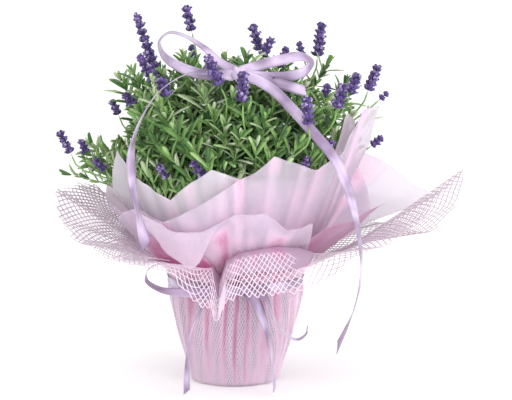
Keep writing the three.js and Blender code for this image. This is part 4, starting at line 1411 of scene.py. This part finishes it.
@dataclass(frozen=True)
class BushForm:
    """The dome that the foliage fills, and the 16 clumps of stems that carry it.

    across, deep, high, power: the dome's half sizes, and how square its shoulders are.
    ring_radii, ring_counts: the rings that the clumps stand in at the unit height, and how many each has.
    ring_turn: how far each ring is turned from the last, in radians.
    apex_height: the height at which the clumps would meet.
    splay: how far out a clump's stem ends, beside its root.
    """

    centre: tuple[float, float, float] = (-12.0, 0.0, 178.0)
    across: float = 143.0
    deep: float = 114.0
    high: float = 141.0
    power: float = 2.8
    ring_radii: tuple[float, ...] = (0.0, 62.0, 132.0)
    ring_counts: tuple[int, ...] = (1, 5, 10)
    ring_turn: float = 0.35
    apex_height: float = -5.0
    unit_height: float = 300.0
    soil_top: float = 98.0
    stem_sink: float = 16.0
    splay: float = 1.15

    def surface(self, polar: float, azimuth: float) -> Vector:
        """The dome's surface in a direction from its centre, given in radians.

        Args:
            polar: the angle from straight up.
            azimuth: the azimuth.

        Returns:
            The point.
        """
        out = math.sin(polar)
        way = Vector((out * math.cos(azimuth), out * math.sin(azimuth), math.cos(polar)))
        sizes = (self.across, self.deep, self.high)
        filled = sum(abs(part / size) ** self.power for part, size in zip(way, sizes))
        return Vector(self.centre) + way * filled ** (-1 / self.power)

    def spread_at(self, height: float) -> float:
        """How wide the clumps stand at a height, beside how wide they stand at the unit height."""
        return (height - self.apex_height) / (self.unit_height - self.apex_height)

    def clumps(self) -> list[Vector]:
        """Where the clumps stand at the unit height.

        Returns:
            One place for each, at height 0.
        """
        found = []
        for ring, (radius, count) in enumerate(zip(self.ring_radii, self.ring_counts)):
            turns = [i * 2 * math.pi / count + ring * self.ring_turn for i in range(count)]
            found += [Vector((radius * math.cos(turn), radius * math.sin(turn), 0)) for turn in turns]
        return found

    def nearest(self, point: Vector) -> int:
        """The clump that a point belongs to.

        Args:
            point: the point.

        Returns:
            The clump's number.
        """
        spread = self.spread_at(point.z)
        plan = Vector((point.x / spread, point.y / spread, 0))
        away = [(clump - plan).length for clump in self.clumps()]
        return away.index(min(away))

    def root(self, clump: int) -> Vector:
        """Where a clump's stem stands in the soil."""
        place = self.clumps()[clump] * self.spread_at(self.soil_top)
        return Vector((place.x, place.y, self.soil_top - self.stem_sink))


BUSH = BushForm()


def back_heads() -> list[Head]:
    """The five heads at the back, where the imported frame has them.

    Returns:
        The heads.
    """
    centre = Vector(BUSH.centre)
    heads = []
    for i in range(5):
        azimuth = (38 + 104 * (i + 0.5) / 5) * DEGREE
        polar = (34, 62, 48)[i % 3] * DEGREE
        root = BUSH.surface(polar, azimuth)
        outward = root - Vector((centre.x, centre.y, 0))
        outward.z = root.z - centre.z + 60
        outward.normalize()
        base = root + outward * (6 + (i % 3) * 7)
        tip = base + outward * (24 + (i % 4) * 3)
        heads.append(Head(tuple(base), tuple(tip), 4, 6))
    return heads


@dataclass
class Room:
    """The space inside the collars, so that nothing of the bush pokes through the cloth.

    margin: how far to stay from the cloth.
    turns, heights: how many azimuths and heights it is measured at.
    over_rim: how far above its edge a cloth still counts.
    upright: the azimuths between which the bush also stands up straight above the rim.
    flare: how fast it may spread there.
    """

    margin: float = 3.0
    over_rim: float = 6.0
    upright: tuple[int, int] = (186, 335)
    flare: float = 0.4
    turns: int = 360
    heights: int = 400
    table: np.ndarray = field(init=False)

    def __post_init__(self) -> None:
        """Measures the collars."""
        azimuth = np.arange(self.turns) * DEGREE
        heights = np.arange(float(self.heights))
        self.table = np.full((self.turns, self.heights), FAR)
        for square in SQUARES:
            sections = DRAPE.sections(square, azimuth)
            ends = DRAPE.edge_reach(square, azimuth)
            for turn in range(self.turns):
                kept = (sections.distance >= DRAPE.neck_reach) & (sections.distance <= ends[turn])
                up, out = sections.height[turn, kept], sections.radius[turn, kept]
                order = np.argsort(up)
                found = np.interp(heights, up[order], out[order])
                found[heights < up.min() - 4] = FAR
                above = heights > up.max() + self.over_rim
                found[above] = FAR
                if self.upright[0] < turn < self.upright[1]:
                    found[above] = float(out.max()) + self.over_rim + self.flare * (heights[above] - up.max())
                self.table[turn] = np.minimum(self.table[turn], found)
        self.table = np.min([np.roll(self.table, swing, axis=0) for swing in range(-4, 5)], axis=0)

    def at(self, point: Vector) -> float:
        """How far from the axis a point may lie at its azimuth and height.

        Args:
            point: the point.

        Returns:
            The distance.
        """
        turn = int(math.degrees(math.atan2(point.y, point.x))) % self.turns
        height = min(self.heights - 1, max(0, int(point.z)))
        inside = DRAPE.pot_radius(point.z) - 2 if point.z < DRAPE.pot_height + 6 else FAR
        return min(float(self.table[turn, height]), inside) - self.margin

    def keep(self, point: Vector) -> Vector:
        """Draws a point in until it is inside."""
        share = max(self.at(point), 1.0) / max(math.hypot(point.x, point.y), 1e-9)
        return point.copy() if self.holds(point) else Vector((point.x * share, point.y * share, point.z))

    def holds(self, point: Vector) -> bool:
        """True if a point lies inside."""
        return math.hypot(point.x, point.y) <= self.at(point)


class Obstacles:
    """Ribbons and flower heads, which leaves grow round."""

    ribbon_room = 6.2
    knot_room = 9.0

    def __init__(self, heads: list[Head]) -> None:
        """Samples what leaves keep away from.

        Args:
            heads: the flower heads.
        """
        found = [(Vector(RibbonWork.knot_place), self.knot_room)]
        for head in heads:
            base, tip = head.ends()
            found += [(base.lerp(tip, i / 4), head.radius + 0.5) for i in range(5)]
        for strip in BOW_STRIPS + TIE_STRIPS:
            path = strip.path()
            found += [(path_point(path, i / 47) / MM, self.ribbon_room) for i in range(48)]
        self.points = np.array([point for point, _ in found])
        self.radii = np.array([radius for _, radius in found])

    def clear(self, leaf: list[Vector]) -> bool:
        """True if none of a leaf's points lies in an obstacle."""
        away = np.linalg.norm(self.points[None, :, :] - np.array(leaf)[:, None, :], axis=2)
        return bool((away > self.radii[None, :]).all())


def square_to(axis: Vector, hint: Vector) -> tuple[Vector, Vector]:
    """Two unit ways square to an axis and to each other.

    Args:
        axis: the axis, of unit length.
        hint: anything that isn't along the axis.

    Returns:
        The way square to the axis and the hint, and the way square to that.
    """
    side = axis.cross(hint).normalized()
    return side, axis.cross(side)


@dataclass
class Growth:
    """A bush piece as it grows: a bmesh with a tone for each vertex, in millimetres until it is done."""

    form: bmesh.types.BMesh = field(default_factory=bmesh.new)
    whole: bmesh.types.BMesh = field(default_factory=bmesh.new)

    def __post_init__(self) -> None:
        """Gives the meshes their tone."""
        self.tone = self.form.verts.layers.float.new("tone")
        self.whole.verts.layers.float.new("tone")

    def settle(self) -> None:
        """Moves what has grown to the whole, so that the next shoot starts in an empty, quick mesh."""
        part = mesh_of("part", self.form)
        self.whole.from_mesh(part)
        bpy.data.meshes.remove(part)
        self.form = bmesh.new()
        self.tone = self.form.verts.layers.float.new("tone")

    def colour(self, verts: list[bmesh.types.BMVert], slot: int) -> None:
        """Gives the faces on some vertices a material slot."""
        for face in {face for vertex in verts for face in vertex.link_faces}:
            face.material_index = slot

    def leaf(
        self, root: Vector, way: Vector, upper: Vector, length: float, half: float, curl: float, tone: float
    ) -> None:
        """Adds a narrow leaf: a spindle pressed flat, hollow above, that arches back towards its tip.

        Args:
            root: where it grows.
            way: its direction at the root.
            upper: the way that its upper face looks.
            length: its length.
            half: half its width.
            curl: how far its tip arches, beside its length.
            tone: its colour's place on the leaf's stops.
        """
        across = upper.cross(way).normalized()
        upper = way.cross(across).normalized()
        ball = bmesh.ops.create_uvsphere(self.form, u_segments=4, v_segments=5, radius=1.0)
        for vertex in ball["verts"]:
            side, face, along = vertex.co.x, vertex.co.y, (vertex.co.z + 1) / 2
            flat = (0.02 if face > 0 else 0.34) * face + 0.22 * side * side
            bend = curl * along * along
            vertex.co = (
                root
                + way * (length * (along - 0.35 * bend * bend))
                - upper * (length * bend)
                + across * (half * side * (0.72 + 0.5 * along))
                + upper * (half * flat)
            )
            vertex[self.tone] = tone + 0.1 * along

    def tube(
        self, points: list[Vector], start: float, end: float, steps: int, tone: float, sides: int = 4
    ) -> None:
        """Adds a tapering stem.

        Args:
            points: what its middle goes through.
            start: its radius at the first point.
            end: its radius at the last point.
            steps: how many parts it is bent in.
            tone: its colour's place on the stem's stops.
            sides: how many sides it has.
        """
        ball = bmesh.ops.create_uvsphere(self.form, u_segments=sides, v_segments=steps + 1, radius=1.0)
        steady = (points[-1] - points[0]).cross(Vector((0.37, 0.93, 0.1))).normalized()
        for vertex in ball["verts"]:
            share = math.acos(max(-1.0, min(1.0, -vertex.co.z))) / math.pi
            flat = math.hypot(vertex.co.x, vertex.co.y)
            tangent = path_tangent(points, share)
            side = (steady - tangent * steady.dot(tangent)).normalized()
            place = path_point(points, share)
            if flat > 1e-6:
                outward = side * vertex.co.x + tangent.cross(side) * vertex.co.y
                place = place + outward * ((start + (end - start) * share) / flat)
            vertex.co = place
            vertex[self.tone] = tone
        self.colour(ball["verts"], 1)

    def mesh(self, name: str) -> bpy.types.Mesh:
        """Ends the growth and turns it to metres.

        Args:
            name: the mesh's name.

        Returns:
            The mesh.
        """
        self.settle()
        self.form.free()
        bmesh.ops.scale(self.whole, vec=(MM, MM, MM), verts=self.whole.verts)
        return mesh_of(name, self.whole)


@dataclass
class LeafyShoot:
    """A shoot with opposite leaves, each pair turned a quarter from the last, and tufts in their axils.

    drops, lengths, openings: how far below the tip each pair is, its leaves' length, and how far from the
    shoot they stand.
    tufted: which pairs have a tuft.
    """

    drops: tuple[float, ...] = (2, 6, 12, 19, 27, 36, 46, 57)
    lengths: tuple[float, ...] = (11, 17, 23, 27, 29, 29, 27, 25)
    openings: tuple[float, ...] = (14, 26, 38, 48, 56, 62, 68, 72)
    tufted: tuple[int, ...] = (2, 3, 4, 5)
    half_width: float = 2.75

    def grow(
        self, growth: Growth, path: list[Vector], draw: random.Random, room: Room, obstacles: Obstacles
    ) -> None:
        """Adds the shoot.

        Args:
            growth: what it is added to.
            path: the shoot's middle, ending at its tip.
            draw: where its chances come from.
            room: the space that it keeps to.
            obstacles: what its leaves grow round.
        """
        growth.tube(path, 1.1, 0.5, 6, 0.62 + 0.2 * draw.random())
        length = path_length(path)
        roll, size, age = draw.random() * math.pi, 0.82 + 0.36 * draw.random(), draw.random()
        for node, drop in enumerate(self.drops):
            share = 1 - drop / length
            if share < 0.1:
                break
            place, axis = path_point(path, share), path_tangent(path, share)
            side, up = square_to(axis, Vector((0.31, -0.2, 0.93)))
            for blade in range(4 if node in self.tufted else 2):
                # the leaves of a tuft are shorter, narrower and stand closer
                in_tuft = blade > 1
                angle = roll + node * math.pi / 2 + blade * math.pi + (math.pi / 2.6 if in_tuft else 0)
                angle += 0.35 * (draw.random() - 0.5)
                outward = side * math.cos(angle) + up * math.sin(angle)
                opening = self.openings[node] * (0.7 if in_tuft else 1.0)
                opening = (opening + 14 * (draw.random() - 0.5)) * DEGREE
                way = axis * math.cos(opening) + outward * math.sin(opening)
                upper = axis * math.sin(opening) - outward * math.cos(opening)
                reach = self.lengths[node] * size * (0.55 if in_tuft else 1.0) * (0.85 + 0.3 * draw.random())
                curl = (0.10 + 0.22 * draw.random()) * (1 if node > 0 else 0.3)
                tip = place + way * reach - upper * (reach * curl)
                middle = place + way * (reach * 0.5) - upper * (reach * curl * 0.25)
                if not (room.holds(tip) and room.holds(middle) and obstacles.clear([middle, tip])):
                    continue
                # fresh leaves at the tip and low in the bush are paler
                fresh = 0.16 * (1 - node / 7) + 0.16 * (1 - float(smooth((place.z - 195) / 60)))
                # the lowest pairs are darker: partly older leaves, partly painted shade deep in the bush
                tone = 0.23 + 0.42 * age + fresh + 0.62 * (draw.random() - 0.5) - (0.12 if node > 5 else 0)
                half = self.half_width * size * (0.72 if in_tuft else 1.0) * (0.75 if node == 0 else 1.0)
                growth.leaf(place, way, upper, reach, half, curl, tone)


STRAY_TIPS = (
    (-155, 6, 203), (-166, 0, 206), (-146, 10, 216), (-150, 22, 226), (-128, -6, 232), (-122, -12, 222),
    (-99, -30, 309), (-112, -6, 300), (-52, 10, 324), (-10, 0, 321), (12, -30, 322), (44, -20, 316),
    (93, 0, 318), (110, -10, 300), (118, 20, 292), (134, 10, 262),
)


@dataclass
class Foliage:
    """All the leafy stems: one piece for each clump, which also carries its flower heads' stalks.

    lowest: how far from the top of the dome the shoots reach.
    depths: how far out the shoots' tips lie, beside the dome, in turn.
    shoulder: left of the first and above the second, the bush is open.
    shoot_lean, stalk_lean: over 1, they leave their clump late.
    stalk_reach: how far under its flower head a stalk already points along it.
    """

    heads: list[Head]
    shoots: int = 330
    lowest: float = 101.0
    depths: tuple[float, ...] = (0.97, 0.9, 0.76)
    shoulder: tuple[float, float] = (-108.0, 236.0)
    shoot_lean: float = 1.25
    stalk_lean: float = 2.2
    stalk_reach: float = 14.0
    stalk_radius: float = 0.85
    seed: int = 11

    def tips(self, draw: random.Random) -> list[Vector]:
        """Where the shoots end: spread evenly over the dome, some of them deeper in.

        Args:
            draw: where its chances come from.

        Returns:
            The tips.
        """
        found = []
        centre = Vector(BUSH.centre)
        for i in range(self.shoots):
            polar = math.acos(1 - (1 - math.cos(self.lowest * DEGREE)) * ((i + 0.5) / self.shoots))
            surface = BUSH.surface(polar, i * GOLDEN_ANGLE)
            tip = centre.lerp(surface, self.depths[i % 3] + 0.06 * (draw.random() - 0.5))
            if tip.x > self.shoulder[0] or tip.z < self.shoulder[1]:
                found.append(tip)
        return found + [Vector(tip) for tip in STRAY_TIPS]

    def path(self, clump: int, tip: Vector, room: Room, lean: float) -> list[Vector]:
        """A shoot's or stalk's way up from its clump's stem.

        Args:
            clump: the clump.
            tip: where it ends.
            room: the space that it keeps to.
            lean: over 1, it leaves the clump late.

        Returns:
            Its points.
        """
        root = BUSH.root(clump)
        rise = 0.25 * (tip.z - root.z)
        heart = Vector((root.x * BUSH.splay, root.y * BUSH.splay, root.z + 26 + rise))
        points = [heart]
        for share in (0.25, 0.5, 0.75):
            plan = heart.lerp(tip, share**lean)
            points.append(room.keep(Vector((plan.x, plan.y, heart.z + (tip.z - heart.z) * share))))
        return points + [room.keep(tip)]

    def build(self, room: Room, obstacles: Obstacles) -> None:
        """Grows the 16 pieces.

        Args:
            room: the space that they keep to.
            obstacles: what their leaves grow round.
        """
        draw = random.Random(self.seed)
        growths = [Growth() for _ in BUSH.clumps()]
        shoot = LeafyShoot()
        for tip in self.tips(draw):
            clump = BUSH.nearest(tip)
            shoot.grow(growths[clump], self.path(clump, tip, room, self.shoot_lean), draw, room, obstacles)
            growths[clump].settle()
        for head in self.heads:
            base, tip = head.ends()
            clump = BUSH.nearest(base)
            axis = (tip - base).normalized()
            before = base - axis * self.stalk_reach
            path = [*self.path(clump, before, room, self.stalk_lean)[:-1], before, base + axis * 1.5]
            growths[clump].tube(path, 1.1, self.stalk_radius, 12, 0.72)
            growths[clump].settle()
        for clump, growth in enumerate(growths):
            root = BUSH.root(clump)
            heart = Vector((root.x * BUSH.splay, root.y * BUSH.splay, root.z + 60))
            growth.tube([root, root.lerp(heart, 0.5), heart], 2.0, 1.4, 5, 0.12, 6)
            name, node = f"leafy_sprigs_{clump + 1:02d}", f"leafy_stem_{clump + 1:02d}"
            finish_piece(name, growth.mesh(name), [Finish.LEAF, Finish.STEM], node)


@dataclass
class FlowerHead:
    """Whorls of felted buds up a stalk, with small petals open at their ends.

    tiers: how far from the stalk the buds of each whorl's two tiers stand, and how many each has.
    open_share: how many of its buds have petals, at a bloom of 1.
    crown: how many closed buds it ends in.
    """

    head: Head
    number: int
    tiers: tuple[tuple[float, int], ...] = ((58, 8), (28, 6))
    open_share: float = 0.42
    crown: int = 5
    first_seed: int = 100

    def bud(self, growth: Growth, root: Vector, way: Vector, length: float, half: float, tone: float) -> None:
        """Adds one bud: a small egg, wider towards its mouth.

        Args:
            growth: what it is added to.
            root: where it starts.
            way: its direction.
            length: its length.
            half: half its width.
            tone: its colour's place on the calyx's stops.
        """
        side, up = square_to(way, Vector((0.3, 0.2, 0.93)))
        ball = bmesh.ops.create_uvsphere(growth.form, u_segments=6, v_segments=5, radius=1.0)
        for vertex in ball["verts"]:
            x, y, z = vertex.co
            along = (z + 1) / 2
            wide = half * (0.8 + 0.35 * along)
            vertex.co = root + way * (length * along) + side * (x * wide) + up * (y * wide)
            vertex[growth.tone] = tone + 0.15 * along

    def petals(self, growth: Growth, centre: Vector, way: Vector, radius: float, tone: float) -> None:
        """Adds an open flower: a shallow cup of five lobes.

        Args:
            growth: what it is added to.
            centre: the cup's foot.
            way: the way that it faces.
            radius: how far its lobes reach.
            tone: its colour's place on the petal's stops.
        """
        side, up = square_to(way, Vector((0.2, 0.9, 0.31)))
        cup = bmesh.ops.create_cone(
            growth.form, cap_ends=True, cap_tris=True, segments=10, radius1=0.35, radius2=1.0, depth=1.0
        )
        for vertex in cup["verts"]:
            x, y, z = vertex.co
            rim = z > 0 and math.hypot(x, y) > 0.5
            # every other point of the rim lies between two lobes
            between = rim and round(math.atan2(y, x) / (math.pi / 5)) % 2 == 1
            reach = radius * (0.5 if between else 1.0)
            depth = (z + 0.5) * (0.55 if rim else 0.25)
            vertex.co = centre + way * (depth * radius) + side * (x * reach) + up * (y * reach)
            vertex[growth.tone] = tone + (0.25 if rim else 0.0)
        growth.colour(cup["verts"], 2)

    def build(self) -> None:
        """Builds the head as one piece."""
        draw = random.Random(self.first_seed + self.number)
        base, tip = self.head.ends()
        whorls, radius, bloom = self.head.whorls, self.head.radius, self.head.bloom
        axis, length = (tip - base).normalized(), (tip - base).length
        side, up = square_to(axis, Vector((0.2, -0.9, 0.3)))
        growth = Growth()
        growth.tube([base - axis * 0.5, base.lerp(tip, 0.5), tip - axis * 2], 0.9, 0.6, 4, 0.4, 5)
        pale = 0.35 * max(0.0, 1 - bloom)
        for whorl in range(whorls):
            growth.settle()
            share = (whorl + 0.35) / whorls
            taper = 1 - 0.2 * max(0.0, share - 0.45) / 0.55
            place = base + axis * (length * share * 0.93)
            for tier, (opening, count) in enumerate(self.tiers):
                for i in range(count):
                    angle = 2 * math.pi * (i + 0.5 * ((whorl + tier) % 2)) / count
                    angle += 0.25 * (draw.random() - 0.5)
                    outward = side * math.cos(angle) + up * math.sin(angle)
                    lean = (opening * taper + 12 * (draw.random() - 0.5)) * DEGREE
                    way = axis * math.cos(lean) + outward * math.sin(lean)
                    size = radius * taper * (0.86 + 0.2 * draw.random())
                    root = place + outward * 0.5 + axis * (tier * 0.8)
                    tone = 0.1 + 0.55 * draw.random() * bloom + pale
                    self.bud(growth, root, way, size, radius * 0.26, tone)
                    if draw.random() < self.open_share * bloom:
                        mouth = root + way * (size * 0.93)
                        self.petals(growth, mouth, way, radius * 0.3, 0.2 + 0.6 * draw.random())
        for i in range(self.crown):
            angle = 2 * math.pi * i / self.crown
            outward = side * math.cos(angle) + up * math.sin(angle)
            way = (axis + outward * (0.25 if i else 0.0)).normalized()
            root, tone = tip - axis * (radius * 0.9), 0.35 + 0.4 * draw.random()
            self.bud(growth, root, way, radius * 0.9, radius * 0.17, tone)
        name, node = f"blossom_{self.number:02d}", f"flower_head_{self.number:02d}"
        finish_piece(name, growth.mesh(name), [Finish.CALYX, Finish.STEM, Finish.PETAL], node)


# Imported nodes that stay, and the studio


@dataclass(frozen=True)
class PotAndCompost:
    """The hidden nursery pot and its filling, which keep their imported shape."""

    finishes: tuple[tuple[str, Finish], ...] = (("pot", Finish.POT), ("soil", Finish.COMPOST))

    def dress(self, nodes: dict[str, bpy.types.Object]) -> None:
        """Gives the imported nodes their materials.

        Args:
            nodes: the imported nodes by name.
        """
        for name, finish in self.finishes:
            mesh = nodes[name].data
            mesh.materials.clear()
            mesh.materials.append(material_of(finish))
            LOG.info("%s keeps its packed shape", name)


@dataclass(frozen=True)
class Studio:
    """A white floor, soft light and the photograph's view.

    lamps: name, place in metres, side in metres, and power in watts.
    floor_half: half the floor's side, in metres.
    aim: what the lamps face, in metres.
    """

    target: tuple[float, float, float] = (21.0, 0.0, 180.0)
    distance: float = 1420.0
    pitch: float = 6.0
    lens: float = 100.0
    sensor: float = 36.0
    floor_half: float = 12.0
    daylight: float = 1.15
    aim: tuple[float, float, float] = (0.0, 0.0, 0.2)
    lamps: tuple[tuple[str, tuple[float, float, float], float, float], ...] = (
        ("key", (-0.9, -1.3, 1.5), 0.8, 7.0),
        ("fill", (1.3, -1.2, 0.6), 1.2, 15.0),
        ("front", (0.1, -2.0, 0.3), 0.8, 7.0),
    )

    def camera(self) -> None:
        """Sets the camera."""
        data = bpy.data.cameras.new("camera")
        data.lens = self.lens
        data.sensor_width = self.sensor
        camera = add_object("camera", data)
        tilt = self.pitch * DEGREE
        back = Vector((0, -math.cos(tilt), math.sin(tilt)))
        camera.location = (Vector(self.target) + back * self.distance) * MM
        camera.rotation_euler = (math.pi / 2 - tilt, 0, 0)
        bpy.context.scene.camera = camera

    def light(self) -> None:
        """Hangs soft square lamps and fills the room with even white light."""
        for name, place, side, power in self.lamps:
            data = bpy.data.lights.new(name, "AREA")
            data.size = side
            data.energy = power
            lamp = add_object(name, data)
            lamp.location = place
            lamp.rotation_euler = (Vector(self.aim) - Vector(place)).to_track_quat("-Z", "Y").to_euler()
        world = bpy.data.worlds.new("room")
        world.use_nodes = True
        background = world.node_tree.nodes["Background"]
        background.inputs["Color"].default_value = (1.0, 1.0, 1.0, 1.0)
        background.inputs["Strength"].default_value = self.daylight
        bpy.context.scene.world = world

    def floor(self) -> None:
        """Lays the floor."""
        form = bmesh.new()
        bmesh.ops.create_grid(form, x_segments=1, y_segments=1, size=self.floor_half)
        floor = add_object("floor", mesh_of("floor", form))
        floor.data.materials.append(material_of(Finish.PAPER))

    def build(self) -> None:
        """Sets up the whole studio."""
        self.camera()
        self.floor()
        self.light()
        bpy.context.scene.view_settings.view_transform = "Standard"


def main() -> None:
    """Builds the pieces in order."""
    logging.basicConfig(level=logging.INFO, format="%(asctime)s %(name)s: %(message)s")
    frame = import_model()
    Studio().build()
    PotAndCompost().dress(frame["nodes"])
    painted_shade = Finish.PAINTED_SHADE_FLEECE
    for sheet in (
        FleeceSheet(INNER_FLEECE, Finish.INNER_FLEECE, "fleece_white"),
        FleeceSheet(OUTER_FLEECE, Finish.OUTER_FLEECE, "fleece_pink"),
        FoldedPart("outer_fleece_front", FRONT_FOLD, (0.21, 0.09)),
        FoldedPart("outer_fleece_lobe", LOBE_FOLD, (0.09, 0.07), 0.25, 2.0, 0.1, painted_shade, 90),
        FoldedPart("outer_fleece_side", SIDE_FOLD, (0.1, 0.08), 0.25, 2.0, 0.4, painted_shade, 80),
        FoldedPart("outer_fleece_hem", LEFT_FOLD, (0.075, 0.045), 0.4, 2.0, 0.65, sides=80),
        DiamondNet(),
        DiamondNet("pink_net_corner", (0.12, 0.08), (168.0, 234.0), 36.0, 3.0, 0.3, 27.6),
    ):
        sheet.declare(sheet.build())
    bow = RibbonWork("bow_satin", "bow_ribbon", BOW_STRIPS)
    bow.declare(bow.build(), 0.05, "leafy_sprigs_06")
    tie = TieRibbon("tie_satin", "tie_ribbon", TIE_STRIPS)
    tie.declare(tie.build(), 0.5, "pink_net")
    heads = [*FRONT_HEADS, *back_heads()]
    Foliage(heads).build(Room(), Obstacles(heads))
    for i, head in enumerate(heads):
        FlowerHead(head, i + 1).build()


if __name__ == "__main__":
    main()
